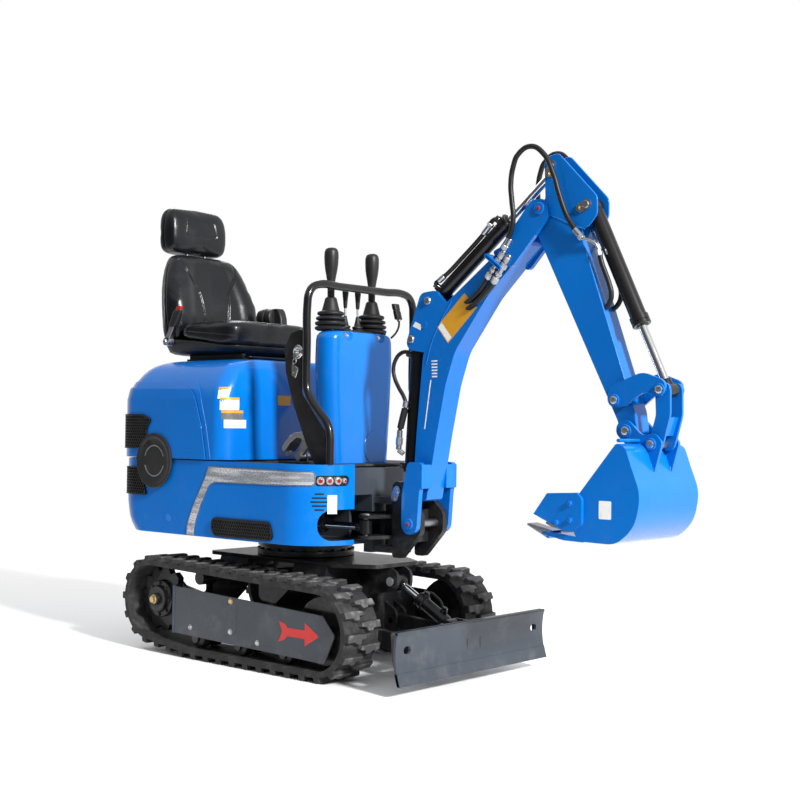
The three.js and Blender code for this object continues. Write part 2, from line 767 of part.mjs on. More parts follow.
function footPedal() {
  const y0 = -RAIL_HALF + 30;
  const foot = block([150, 250], [y0, y0 + 44], [DECK_TOP + FIT, DECK_TOP + 10]);
  const tread = plateXZ(
    rounded([[170, DECK_TOP + 6], [200, DECK_TOP + 6], [262, DECK_TOP + 74, 8], [262, DECK_TOP + 92, 8], [216, DECK_TOP + 92, 8]]),
    y0 + 2,
    y0 + 42,
  );
  return join(foot, tread);
}

function trimStrip() {
  const skin = (offset) => plateXY(
    housePlan({ front: HOUSE_FRONT + offset, half: HOUSE_HALF + offset, tail: TAIL_RADIUS + offset, corner: FRONT_CORNER + offset }),
    HOUSE_FLOOR + 8,
    DECK_TOP - 10,
  );
  const outline = rounded([
    [-262, 470], [-224, 470, 4], [-128, 660, 24], [-96, 676, 20], [400, 676, 20], [400, 724, 20], [-142, 724, 10], [-150, 690, 20],
  ]);
  const region = plateXZ(outline, -HOUSE_HALF - 20, -150);
  return cut(skin(4), skin(FIT)).intersect(region);
}

function roundel() {
  const skin = (offset) => plateXY(housePlan({ half: HOUSE_HALF + offset, tail: TAIL_RADIUS + offset }), 600, 900);
  const core = pinY([-448, 740], -250, -HOUSE_HALF - 40, 108, 28);
  return cut(skin(COVER_PROUD + 9), skin(COVER_PROUD + FIT)).intersect(core);
}

// ---------- seat ----------
function softBlock(levels, radius) {
  return loft(
    levels.map(({ z, x0, x1, half }) => ({
      z,
      points: rounded([[x0, -half, radius], [x1, -half, radius], [x1, half, radius], [x0, half, radius]], 4),
    })),
  );
}

const SEAT_BACK = -650;
const SEAT_FRONT = -195;

function seatBase() {
  const rail = block([-560, -215], [-150, -120], [HOOD_TOP + FIT, SEAT_FLOOR + 2]);
  const pan = softBlock(
    [
      { z: SEAT_FLOOR, x0: SEAT_BACK + 34, x1: SEAT_FRONT - 40, half: CUSHION_HALF - 40 },
      { z: SEAT_FLOOR + 14, x0: SEAT_BACK + 12, x1: SEAT_FRONT - 14, half: CUSHION_HALF - 12 },
      { z: CUSHION_BOTTOM - FIT, x0: SEAT_BACK, x1: SEAT_FRONT, half: CUSHION_HALF },
    ],
    40,
  );
  return join(pan, rail, mirrored(rail));
}

const BACKREST_FOOT = CUSHION_BOTTOM + FIT;

const seatCushion = () =>
  softBlock(
    [
      { z: CUSHION_BOTTOM + FIT, x0: -524, x1: SEAT_FRONT, half: CUSHION_HALF },
      { z: CUSHION_TOP - 22, x0: -524, x1: SEAT_FRONT + 4, half: CUSHION_HALF },
      { z: CUSHION_TOP, x0: -514, x1: SEAT_FRONT - 14, half: CUSHION_HALF - 18 },
    ],
    44,
  );

const seatBackrest = () =>
  softBlock(
    [
      { z: BACKREST_FOOT, x0: -640, x1: -534, half: 212 },
      { z: 1330, x0: -656, x1: -530, half: 216 },
      { z: 1440, x0: -678, x1: -562, half: 200 },
      { z: 1520, x0: -694, x1: -596, half: 168 },
      { z: BACKREST_TOP, x0: -700, x1: -630, half: 128 },
    ],
    34,
  );

function headrest() {
  const pad = softBlock(
    [
      { z: HEADREST_BOTTOM, x0: -756, x1: -676, half: 122 },
      { z: HEADREST_BOTTOM + 20, x0: -766, x1: -664, half: 138 },
      { z: HEADREST_TOP - 30, x0: -772, x1: -676, half: 138 },
      { z: HEADREST_TOP, x0: -760, x1: -700, half: 116 },
    ],
    26,
  );
  const stem = rod([-682, -48, BACKREST_TOP + 4], [-702, -48, HEADREST_BOTTOM + 12], 8, 8);
  return join(pad, stem, mirrored(stem));
}

// ---------- front attachment ----------
// A plate with a boss radius at each named corner, given as [x, z, radius].
const linkPlate = (corners, y0, y1) => plateXZ(rounded(corners, 4), y0, y1);

function swingBracket() {
  const hub = rod([SWING_AXIS, 0, 454], [SWING_AXIS, 0, 600], 44, 28);
  const web = block([SWING_AXIS, 580], [-52, 52], [470, 588]);
  const cheek = linkPlate(
    [
      [516, 414, 12],
      [560, 414, 20],
      [BOOM_FOOT[0] + 36, BOOM_FOOT[1] - 30, 30],
      [BOOM_FOOT[0] + 36, BOOM_FOOT[1] + 38, 34],
      [BOOM_RAM_FOOT[0] + 34, BOOM_RAM_FOOT[1] - 10, 20],
      [BOOM_RAM_FOOT[0] + 34, BOOM_RAM_FOOT[1] + 34, 32],
      [514, BOOM_RAM_FOOT[1] + 34, 24],
    ],
    -50,
    -74,
  );
  const boss = pinY(BOOM_RAM_FOOT, -EYE_HALF - PIN_PLAY, -52, 28);
  const lugPlate = (z0, z1) => plateXY(
    rounded([
      [SWING_AXIS - 40, -30], [SWING_LUG[0] - 30, SWING_LUG[1] - 28, 28], [SWING_LUG[0] + 30, SWING_LUG[1] - 28, 28], [SWING_AXIS + 50, -40], [SWING_AXIS + 20, 0], [SWING_AXIS - 30, 0],
    ]),
    z0,
    z1,
  );
  const ear = EYE_HALF + PIN_PLAY;
  return join(
    hub,
    web,
    cheek,
    mirrored(cheek),
    boss,
    mirrored(boss),
    lugPlate(SWING_RAM_Z - ear - 12, SWING_RAM_Z - ear),
    lugPlate(SWING_RAM_Z + ear, SWING_RAM_Z + ear + 12),
  );
}

function boom() {
  const outline = rounded([
    [BOOM_FOOT[0] - 30, 620, 20],
    [BOOM_FOOT[0] + 36, 620, 20],
    [694, 860, 200],
    [732, 1035, 160],
    [772, 1150, 160],
    [912, 1335, 300],
    [1098, 1514, 20],
    [1048, 1552, 20],
    [740, 1330, 30],
    [ARM_RAM_BASE[0] + 60, 1300, 30],
    [627, 1150, 160],
    [600, 860, 160],
  ], 5);
  const body = plateXZ(outline, -BOOM_HALF, BOOM_HALF);
  const foot = linkPlate(
    [[BOOM_FOOT[0] - 34, BOOM_FOOT[1] - 36, 34], [BOOM_FOOT[0] + 36, BOOM_FOOT[1] - 36, 34], [BOOM_FOOT[0] + 46, 640, 20], [676, 760, 20], [604, 760, 20], [BOOM_FOOT[0] - 34, 640, 60]],
    -77,
    -97,
  );
  const flare = block([604, 672], [-97, -BOOM_HALF + 4], [668, 752]);
  const ears = linkPlate(
    [
      [BOOM_RAM_HEAD[0] - 32, BOOM_RAM_HEAD[1] - 34, 30],
      [BOOM_RAM_HEAD[0] + 70, BOOM_RAM_HEAD[1] - 50, 40],
      [800, 1260, 60],
      [800, 1372],
      [730, 1322, 20],
      [ARM_RAM_BASE[0] + 36, ARM_RAM_BASE[1] + 36, 32],
      [ARM_RAM_BASE[0] - 34, ARM_RAM_BASE[1] + 30, 30],
    ],
    -EYE_HALF - PIN_PLAY,
    -BOOM_HALF,
  );
  const tip = linkPlate(
    [[BOOM_TIP[0] + 34, BOOM_TIP[1] - 34, 33], [BOOM_TIP[0] + 34, BOOM_TIP[1] + 34, 33], [BOOM_TIP[0] - 34, BOOM_TIP[1] + 30, 33], [960, 1480, 20], [1020, 1420, 20]],
    -ARM_HALF - PIN_PLAY - 2,
    -ARM_HALF - PIN_PLAY - 18,
  );
  const ramSlot = plateXZ(
    rounded([[500, 1080], [618, 1120], [664, 1230], [760, 1350], [760, 1420], [500, 1420]]),
    -EYE_HALF - PIN_PLAY,
    EYE_HALF + PIN_PLAY,
  );
  const half = join(foot, flare, ears, tip);
  return join(cut(body, ramSlot), half, mirrored(half));
}

function arm() {
  const body = plateXZ(
    rounded([
      [BOOM_TIP[0] - 34, BOOM_TIP[1] - 60, 20],
      [BUCKET_PIN[0] - 42, BUCKET_PIN[1] + 30, 60],
      [BUCKET_PIN[0] - 30, BUCKET_PIN[1] - 34, 32],
      [BUCKET_PIN[0] + 34, BUCKET_PIN[1] - 30, 32],
      [BUCKET_PIN[0] + 20, BUCKET_PIN[1] + 60, 60],
      [1300, 1490, 60],
      [1270, 1560, 40],
      [BOOM_TIP[0] + 30, BOOM_TIP[1] + 34, 30],
      [BOOM_TIP[0] - 34, BOOM_TIP[1] + 30, 30],
    ], 5),
    -ARM_HALF,
    ARM_HALF,
  );
  const plate = linkPlate(
    [
      [1142, 1590],
      [1310, 1530, 40],
      [BUCKET_RAM_BASE[0] + 40, BUCKET_RAM_BASE[1] - 36, 34],
      [BUCKET_RAM_BASE[0] + 40, BUCKET_RAM_BASE[1] + 24, 34],
      [ARM_RAM_HEAD[0] + 26, ARM_RAM_HEAD[1] + 42, 26],
      [ARM_RAM_HEAD[0] - 30, ARM_RAM_HEAD[1] + 30, 26],
      [1146, 1660, 20],
    ],
    -EYE_HALF - PIN_PLAY,
    -ARM_HALF,
  );
  return join(body, plate, mirrored(plate));
}

function rocker() {
  const plate = linkPlate(
    [
      [ROCKER_PIN[0] - 30, ROCKER_PIN[1] - 26, 28],
      [ROCKER_PIN[0] + 40, ROCKER_PIN[1] - 20, 30],
      [ROCKER_END[0] - 50, ROCKER_END[1] + 4, 60],
      [ROCKER_END[0] + 4, ROCKER_END[1] - 30, 26],
      [ROCKER_END[0] + 30, ROCKER_END[1] + 24, 26],
      [ROCKER_END[0] - 60, ROCKER_END[1] + 56, 60],
      [ROCKER_PIN[0] - 20, ROCKER_PIN[1] + 44, 40],
    ],
    -EAR_INNER,
    -EAR_INNER - 12,
  );
  return plate;
}

function bucketLink() {
  const side = linkPlate(
    [
      [LINK_PIN[0] - 26, LINK_PIN[1] - 24, 25],
      [LINK_PIN[0] + 28, LINK_PIN[1] - 20, 25],
      [LINK_PIN[0] + 58, LINK_PIN[1] + 90, 90],
      [ROCKER_END[0] + 28, ROCKER_END[1] + 26, 25],
      [ROCKER_END[0] - 26, ROCKER_END[1] + 22, 25],
      [LINK_PIN[0] + 8, LINK_PIN[1] + 90, 60],
    ],
    -LINK_INNER,
    -LINK_INNER - 10,
  );
  const web = plateXZ(
    rounded([[LINK_PIN[0] + 6, LINK_PIN[1] + 30], [LINK_PIN[0] + 26, LINK_PIN[1] + 26], [LINK_PIN[0] + 44, LINK_PIN[1] + 84], [LINK_PIN[0] + 24, LINK_PIN[1] + 86]]),
    -LINK_INNER - 2,
    LINK_INNER + 2,
  );
  return join(side, mirrored(side), web);
}

// The bucket's side outline runs from its rim, round the curved back, to the lip.
const BUCKET_SIDE = [
  [1521, 846, 14], [1552, 830, 30], [1574, 770, 60], [1606, 690, 120], [1588, 590, 120], [1520, 534, 80], [1386, 536],
  [1370, 560], [1386, 684, 20],
];

function bucket() {
  const outline = rounded(BUCKET_SIDE, 5);
  const centre = new THREE.Vector2(1490, 680);
  const inner = outline.map((p) => {
    const away = p.clone().sub(centre);
    return p.clone().sub(away.setLength(BUCKET_WALL * 1.15));
  });
  const body = plateXZ(outline, -BUCKET_HALF, BUCKET_HALF);
  const hollow = plateXZ(inner, -BUCKET_HALF + BUCKET_WALL, BUCKET_HALF - BUCKET_WALL);
  const mouth = plateXZ(
    [[1488, 838], [1366, 676], [1356, 546], [1300, 546], [1300, 900]].map(([x, z]) => new THREE.Vector2(x, z)),
    -BUCKET_HALF + BUCKET_WALL,
    BUCKET_HALF - BUCKET_WALL,
  );
  const mouthWedge = plateXZ(
    [[1516, 836], [1400, 684], [1386, 548], [1300, 548], [1300, 900]].map(([x, z]) => new THREE.Vector2(x, z)),
    -BUCKET_HALF + BUCKET_WALL,
    BUCKET_HALF - BUCKET_WALL,
  );
  const lip = plateXZ(
    [[1402, 534], [1402, 548], [1330, 556], [1250, 560], [1244, 552], [1330, 536]].map(([x, z]) => new THREE.Vector2(x, z)),
    -BUCKET_HALF,
    BUCKET_HALF,
  );
  const teeth = [-1, -1 / 3, 1 / 3, 1].map((share) => {
    const y = share * (BUCKET_HALF - 26);
    const outlineTooth = [[1270, 538], [1290, 564], [1190, 582], [1188, 576]].map(([x, z]) => new THREE.Vector2(x, z));
    return plateXZ(outlineTooth, y - 24, y + 24);
  });
  const cutter = plateXZ(
    rounded([[1404, 590, 16], [1404, 670, 20], [1386, 688], [1274, 682], [1222, 614], [1330, 570], [1366, 566, 16]]),
    -BUCKET_HALF - 12,
    -BUCKET_HALF + 1,
  );
  const ear = linkPlate(
    [
      [BUCKET_PIN[0] - 34, BUCKET_PIN[1] - 10, 28],
      [BUCKET_PIN[0] + 4, BUCKET_PIN[1] - 46, 20],
      [1524, 800],
      [1578, 744],
      [LINK_PIN[0] + 40, LINK_PIN[1] + 6, 20],
      [LINK_PIN[0] + 14, LINK_PIN[1] + 36, 28],
      [LINK_PIN[0] - 30, LINK_PIN[1] + 26, 30],
      [BUCKET_PIN[0] + 4, BUCKET_PIN[1] + 38, 28],
      [BUCKET_PIN[0] - 36, BUCKET_PIN[1] + 26, 30],
    ],
    -EAR_INNER,
    -EAR_INNER - 12,
  );
  const shell = cut(body, hollow, mouth, mouthWedge);
  return join(shell, lip, ...teeth, cutter, mirrored(cutter), ear, mirrored(ear));
}

// ---------- hoses ----------
const armHose = (side) =>
  tube(
    [
      [1036, -74, 1482], [1044, -76, 1560], [1036, -78, 1700], [1062, -78, 1800],
      [1112, -76, 1822], [1164, -72, 1790], [1200, -68, 1720], [1232, -62, 1640], [1292, -52, 1512],
    ].map(([x, y, z]) => [x, side * y, z]),
    HOSE_RADIUS,
    24,
    6,
  );

// ---------- assembly ----------
addPair("track", trackBelt(), RUBBER);
addPair("sprocket", sprocket(), BLACK);
addPair("idler", idler(), BLACK);
addPair("track_rollers", rollers(), BLACK);
addPair("side_cover", sideCover(), GREY);
addNode("track_frame", trackFrame(), BLACK);
addNode("slew_ring", slewRing(), BLACK);
addNode("blade", blade(), GREY);
addRam("blade_ram", { base: BLADE_RAM_BLADE, head: BLADE_RAM_FRAME, barrel: 165, inside: 66, back: 80, radius: 24, rodRadius: 12 });

addNode("house_frame", houseFrame(), GREY);
addNode("lower_shell", lowerShell(), BLUE);
addNode("engine_hood", cut(hoodShell(), rearCoverRegion(-40)), BLUE);
addNode("rear_cover", rearCover(), BLUE);
addNode("deck", deck(), RUBBER);
addNode("counterweight", counterweight(), BLACK);
addNode("engine", engine(), BLACK);
addNode("console", console_(), BLUE);
addNode("control_levers", controlLevers(), BLACK);
addNode("handrail", handrail(), BLACK);
addNode("key_panel", keyPanel(), BLACK);
addNode("foot_pedal", footPedal(), CHROME);
addPair("trim_strip", trimStrip(), CHROME);
addPair("roundel", roundel(), BLACK);
addNode("seat_base", seatBase(), BLACK);
addNode("seat_cushion", seatCushion(), LEATHER);
addNode("seat_backrest", seatBackrest(), LEATHER);
addNode("headrest", headrest(), LEATHER);

addNode("swing_bracket", swingBracket(), BLACK);
addRam("swing_ram", { base: SWING_RAM_BASE, head: SWING_LUG, barrel: 360, inside: 200, back: 126, along: "XY", level: SWING_RAM_Z });
addNode("boom", boom(), BLUE);
addRam("boom_ram", { base: BOOM_RAM_HEAD, head: BOOM_RAM_FOOT, barrel: 480, inside: 260, back: 20 });
addRam("arm_ram", { base: ARM_RAM_BASE, head: ARM_RAM_HEAD, barrel: 420, inside: 120, back: 215 });
addNode("arm", arm(), BLUE);
addRam("bucket_ram", { base: BUCKET_RAM_BASE, head: ROCKER_END, barrel: 440, inside: 150, back: 134 });
addPair("rocker_link", rocker(), BLUE);
addNode("bucket_link", bucketLink(), BLUE);
addNode("bucket", bucket(), BLUE);
addNode("hose_right", armHose(1), RUBBER);
addNode("hose_left", armHose(-1), RUBBER);

const bounds = new THREE.Box3().setFromObject(machine);
machine.position.x = -(bounds.min.x + bounds.max.x) / 2;

export default machine;
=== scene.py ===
"""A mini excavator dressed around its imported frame: shells, tracks, rams, seat, controls and finishes."""

from __future__ import annotations

import logging
import math
import random
from collections.abc import Callable, Iterator, Sequence
from contextlib import contextmanager
from dataclasses import dataclass, field
from enum import Enum

import bmesh
import bpy
from mathutils import Matrix, Vector
from mathutils.bvhtree import BVHTree


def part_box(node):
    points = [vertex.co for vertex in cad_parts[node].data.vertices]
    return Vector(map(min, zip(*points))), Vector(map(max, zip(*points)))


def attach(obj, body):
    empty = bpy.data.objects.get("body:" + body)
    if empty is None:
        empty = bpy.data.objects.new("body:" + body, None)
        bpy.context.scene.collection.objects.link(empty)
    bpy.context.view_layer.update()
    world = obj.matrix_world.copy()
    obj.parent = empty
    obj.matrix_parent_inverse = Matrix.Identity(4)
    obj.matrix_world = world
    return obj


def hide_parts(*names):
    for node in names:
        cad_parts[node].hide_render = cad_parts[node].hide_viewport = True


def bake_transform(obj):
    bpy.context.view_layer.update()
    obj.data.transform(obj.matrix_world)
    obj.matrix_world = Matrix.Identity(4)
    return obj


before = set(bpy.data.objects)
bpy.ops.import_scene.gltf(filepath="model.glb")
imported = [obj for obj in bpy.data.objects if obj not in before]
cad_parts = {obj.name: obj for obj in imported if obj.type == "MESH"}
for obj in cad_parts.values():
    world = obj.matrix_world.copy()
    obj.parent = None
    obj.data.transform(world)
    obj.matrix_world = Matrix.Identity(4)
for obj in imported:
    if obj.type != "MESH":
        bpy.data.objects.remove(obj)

log = logging.getLogger("excavator")
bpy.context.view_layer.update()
MM = 0.001
SLEW = (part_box("slew_ring")[0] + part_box("slew_ring")[1]) / 2
DICE = random.Random(11)

Point = tuple[float, float, float]
Flat = tuple[float, float]


def at(x: float, y: float, z: float) -> Vector:
    """A place in metres, from millimetres measured from the slewing axis on the ground."""
    return Vector((SLEW.x + x * MM, y * MM, z * MM))


class Side(Enum):
    """The two sides of the machine, as the sign of Y."""

    RIGHT = -1
    LEFT = 1

    @property
    def tag(self) -> str:
        """The side's name in lower case, as the nodes use it."""
        return self.name.lower()


# ---------------------------------------------------------------- shaders


class Value:
    """A number that varies over a surface: a socket that takes part in Python expressions."""

    def __init__(self, surface: "Surface", socket: bpy.types.NodeSocket) -> None:
        """Wrap a socket.

        Args:
            surface: the material that the socket belongs to.
            socket: the output to wrap.
        """
        self.surface = surface
        self.socket = socket

    def _math(self, operation: str, first: "Value | float", second: "Value | float | None" = None) -> "Value":
        """Add a Math node.

        Args:
            operation: the node's operation.
            first: its first input.
            second: its second input, if it has one.

        Returns:
            The node's result.
        """
        inputs = {0: first} if second is None else {0: first, 1: second}
        node = self.surface.node("ShaderNodeMath", {"operation": operation}, inputs)
        return Value(self.surface, node.outputs[0])

    def __add__(self, other: "Value | float") -> "Value":
        """Sum."""
        return self._math("ADD", self, other)

    __radd__ = __add__

    def __sub__(self, other: "Value | float") -> "Value":
        """Difference."""
        return self._math("SUBTRACT", self, other)

    def __rsub__(self, other: float) -> "Value":
        """Reflected difference."""
        return self._math("SUBTRACT", other, self)

    def __mul__(self, other: "Value | float") -> "Value":
        """Product."""
        return self._math("MULTIPLY", self, other)

    __rmul__ = __mul__

    def __truediv__(self, other: "Value | float") -> "Value":
        """Quotient."""
        return self._math("DIVIDE", self, other)

    def __pow__(self, other: float) -> "Value":
        """Power."""
        return self._math("POWER", self, other)

    def above(self, low: float, high: float) -> "Value":
        """A mask that rises smoothly from 0 at low to 1 at high.

        Args:
            low: where the mask is 0.
            high: where it is 1.

        Returns:
            The mask.
        """
        settings = {"interpolation_type": "SMOOTHSTEP"}
        node = self.surface.node("ShaderNodeMapRange", settings, {"Value": self, "From Min": low, "From Max": high})
        return Value(self.surface, node.outputs[0])


class Surface:
    """A node material under construction, with a Principled shader at its end."""

    def __init__(self, name: str) -> None:
        """Start a material.

        Args:
            name: the material's name.
        """
        self.material = bpy.data.materials.new(name)
        self.material.use_nodes = True
        self.tree = self.material.node_tree
        self.shader = next(n for n in self.tree.nodes if n.type == "BSDF_PRINCIPLED")

    def node(self, kind: str, settings: dict | None = None, inputs: dict | None = None) -> bpy.types.Node:
        """Add any node.

        Args:
            kind: the node's type.
            settings: attributes, set first; "stops" sets a colour ramp's stops.
            inputs: a value, Value or socket for each input, by name or number.

        Returns:
            The new node.
        """
        made = self.tree.nodes.new(kind)
        for key, value in (settings or {}).items():
            if key == "stops":
                self._set_stops(made.color_ramp, value)
            else:
                setattr(made, key, value)
        for key, value in (inputs or {}).items():
            self._feed(made.inputs[key], value)
        return made

    @staticmethod
    def _set_stops(ramp: bpy.types.ColorRamp, stops: Sequence[tuple[float, Sequence[float]]]) -> None:
        """Give a ramp its stops.

        Args:
            ramp: the colour ramp.
            stops: place and colour of each stop, in order.
        """
        while len(ramp.elements) < len(stops):
            ramp.elements.new(1.0)
        for element, (place, colour) in zip(ramp.elements, stops):
            element.position = place
            element.color = (*colour, 1.0)

    def _feed(self, socket: bpy.types.NodeSocket, value: object) -> None:
        """Set or link an input.

        Args:
            socket: the input.
            value: a number, colour, Value or socket.
        """
        if isinstance(value, Value):
            self.tree.links.new(value.socket, socket)
        elif isinstance(value, bpy.types.NodeSocket):
            self.tree.links.new(value, socket)
        elif isinstance(value, (tuple, list)) and len(value) == 3 and socket.type == "RGBA":
            socket.default_value = (*value, 1.0)
        else:
            socket.default_value = value

    def place(self, stretch: Point = (1, 1, 1)) -> bpy.types.NodeSocket:
        """Object coordinates.

        Args:
            stretch: scale along each axis.

        Returns:
            The coordinates' socket.
        """
        coordinates = self.node("ShaderNodeTexCoord")
        mapped = self.node("ShaderNodeMapping", inputs={"Vector": coordinates.outputs["Object"], "Scale": stretch})
        return mapped.outputs[0]

    def height(self) -> Value:
        """The height over the ground, in metres."""
        split = self.node("ShaderNodeSeparateXYZ", inputs={0: self.place()})
        return Value(self, split.outputs["Z"])

    def radius(self) -> Value:
        """The distance from the slewing axis's foot, in metres."""
        inputs = {0: self.place(), 1: (SLEW.x, 0, 0)}
        return Value(self, self.node("ShaderNodeVectorMath", {"operation": "DISTANCE"}, inputs).outputs["Value"])

    def noise(self, scale: float, detail: float = 3, stretch: Point = (1, 1, 1), rough: float = 0.5) -> Value:
        """Fractal noise.

        Args:
            scale: cycles to a metre.
            detail: octaves.
            stretch: scale along each axis.
            rough: share of each finer octave.

        Returns:
            The noise, about 0.5 on average.
        """
        inputs = {"Vector": self.place(stretch), "Scale": scale, "Detail": detail, "Roughness": rough}
        return Value(self, self.node("ShaderNodeTexNoise", inputs=inputs).outputs[0])

    def cells(self, scale: float, feature: str = "F1", stretch: Point = (1, 1, 1)) -> Value:
        """Cell distance.

        Args:
            scale: cells to a metre.
            feature: which distance.
            stretch: scale along each axis.

        Returns:
            The distance in cell widths.
        """
        inputs = {"Vector": self.place(stretch), "Scale": scale}
        node = self.node("ShaderNodeTexVoronoi", {"feature": feature}, inputs)
        return Value(self, node.outputs["Distance"])

    def mix(self, factor: Value | float, first: object, second: object) -> bpy.types.NodeSocket:
        """Blend two colours.

        Args:
            factor: share of the second.
            first: a colour or socket.
            second: a colour or socket.

        Returns:
            The colour's socket.
        """
        node = self.node("ShaderNodeMix", {"data_type": "RGBA"}, {"Factor": factor, 6: first, 7: second})
        return node.outputs[2]

    def bump(self, height: Value, strength: float, distance: float) -> bpy.types.NodeSocket:
        """Raise the surface.

        Args:
            height: the relief.
            strength: how much of it shows.
            distance: the relief's height in metres.

        Returns:
            The normal's socket.
        """
        inputs = {"Height": height, "Strength": strength, "Distance": distance}
        return self.node("ShaderNodeBump", inputs=inputs).outputs[0]

    def shade(self, **inputs: object) -> bpy.types.Material:
        """Feed the shader.

        Args:
            **inputs: shader inputs, with underscores for spaces.

        Returns:
            The finished material.
        """
        for key, value in inputs.items():
            self._feed(self.shader.inputs[key.replace("_", " ")], value)
        return self.material


@dataclass(frozen=True)
class Paint:
    """Sprayed paint with orange peel, faint tonal drift, and dust that settles low down."""

    name: str
    colour: Point
    shade: Point
    roughness: float = 0.26
    coat: float = 0.7
    peel: float = 0.12
    dust: float = 0.12

    def build(self) -> bpy.types.Material:
        """Make the paint's material."""
        s = Surface(self.name)
        drift = s.noise(2.2, 2).above(0.3, 0.7)
        tone = s.mix(drift, self.colour, self.shade)
        low = 1 - s.height().above(0.05, 0.85)
        dirt = (s.noise(14, 6, rough=0.65).above(0.46, 0.78) * (0.25 + low)) * self.dust
        scratch = s.noise(60, 2, (1, 1, 9)).above(0.70, 0.74) * (0.35 * self.dust)
        base = s.mix(scratch + dirt, tone, (0.30, 0.29, 0.27))
        fine = s.noise(260, 2)
        return s.shade(
            Base_Color=base,
            Roughness=dirt * 0.6 + (drift * 0.05 + self.roughness),
            Coat_Weight=self.coat,
            Coat_Roughness=0.06,
            Specular_IOR_Level=0.22,
            Metallic=0.0,
            Normal=s.bump(fine, self.peel, 0.0006),
        )


@dataclass(frozen=True)
class Rubber:
    """Moulded rubber with dried soil in its pores and rubbed, paler patches."""

    name: str
    colour: Point
    rubbed: Point
    roughness: float = 0.72
    grain: float = 380
    wear: float = 0.5

    def build(self) -> bpy.types.Material:
        """Make the rubber's material."""
        s = Surface(self.name)
        patch = s.noise(26, 5, rough=0.6).above(0.45, 0.72) * self.wear
        speck = s.noise(self.grain, 4, rough=0.7)
        base = s.mix(patch, self.colour, self.rubbed)
        base = s.mix(speck.above(0.62, 0.72) * (0.4 * self.wear), base, self.rubbed)
        return s.shade(
            Base_Color=base,
            Roughness=patch * 0.2 + self.roughness,
            Specular_IOR_Level=0.35,
            Normal=s.bump(speck, 0.35, 0.0008),
        )


@dataclass(frozen=True)
class Plate:
    """Bare or plated metal with fine grinding lines and a little tarnish."""

    name: str
    colour: Point
    tarnish: Point
    roughness: float = 0.14
    lines: Point = (1, 1, 1)
    stain: float = 0.3

    def build(self) -> bpy.types.Material:
        """Make the metal's material."""
        s = Surface(self.name)
        cloud = s.noise(34, 5).above(0.48, 0.75) * self.stain
        line = s.noise(420, 2, self.lines)
        base = s.mix(cloud, self.colour, self.tarnish)
        return s.shade(
            Base_Color=base,
            Metallic=1.0,
            Roughness=cloud * 0.4 + (line * 0.08 + self.roughness),
            Normal=s.bump(line, 0.08, 0.0004),
        )


@dataclass(frozen=True)
class Vinyl:
    """Upholstery vinyl: pebbled grain, a soft sheen and faint scuffs."""

    name: str
    colour: Point
    worn: Point

    def build(self) -> bpy.types.Material:
        """Make the vinyl's material."""
        s = Surface(self.name)
        pebble = s.cells(620, "SMOOTH_F1")
        crease = s.noise(150, 3)
        scuff = s.noise(9, 4).above(0.5, 0.8)
        return s.shade(
            Base_Color=s.mix(scuff, self.colour, self.worn),
            Roughness=scuff * 0.1 + (pebble * 0.10 + 0.22),
            Specular_IOR_Level=0.36,
            Normal=s.bump(pebble * 0.6 + crease * 0.5, 0.22, 0.0007),
        )


@dataclass(frozen=True)
class Moulding:
    """Moulded plastic with a fine spark-eroded grain."""

    name: str
    colour: Point
    pale: Point
    roughness: float = 0.5
    grain: float = 900

    def build(self) -> bpy.types.Material:
        """Make the plastic's material."""
        s = Surface(self.name)
        haze = s.noise(12, 4).above(0.48, 0.8)
        fine = s.noise(self.grain, 2)
        return s.shade(
            Base_Color=s.mix(haze, self.colour, self.pale),
            Roughness=haze * 0.08 + (fine * 0.1 + self.roughness - 0.05),
            Specular_IOR_Level=0.35,
            Normal=s.bump(fine, 0.18, 0.0004),
        )


@dataclass(frozen=True)
class Foil:
    """Bright textured trim foil with small facets; the darker bands in its colour are painted reflections, while its
    relief is real.
    """

    name: str
    colour: Point
    dark: Point

    def build(self) -> bpy.types.Material:
        """Make the foil's material."""
        s = Surface(self.name)
        # Painted reflection: horizontal bands that pull the colour towards the darker tone stand in for the reflections
        # on the foil's facets; the same bands also shape its real relief.
        reflection_band = s.noise(26, 4, (0.25, 0.25, 3.2)).above(0.38, 0.62)
        facet = s.cells(240, "F1", (0.4, 0.4, 1.4))
        return s.shade(
            Base_Color=s.mix(reflection_band, self.colour, self.dark),
            Metallic=0.6,
            Roughness=facet * 0.12 + 0.2,
            Normal=s.bump(reflection_band * 0.7 + facet * 0.3, 0.3, 0.0012),
        )


@dataclass(frozen=True)
class Lens:
    """A lamp lens with ribs behind a clear face."""

    name: str
    colour: Point
    deep: Point

    def build(self) -> bpy.types.Material:
        """Make the lens's material."""
        s = Surface(self.name)
        rib = s.cells(330, "F1")
        return s.shade(
            Base_Color=s.mix(rib.above(0.1, 0.6), self.colour, self.deep),
            Roughness=rib * 0.1 + 0.06,
            Coat_Weight=1.0,
            Normal=s.bump(rib, 0.3, 0.0008),
        )


@dataclass(frozen=True)
class Label:
    """A printed film label: a plain field with a faint satin film."""

    name: str
    colour: Point
    aged: Point

    def build(self) -> bpy.types.Material:
        """Make the label's material."""
        s = Surface(self.name)
        age = s.noise(60, 3).above(0.5, 0.8)
        return s.shade(
            Base_Color=s.mix(age, self.colour, self.aged),
            Roughness=age * 0.1 + 0.34,
            Normal=s.bump(s.noise(300, 2), 0.06, 0.0003),
        )


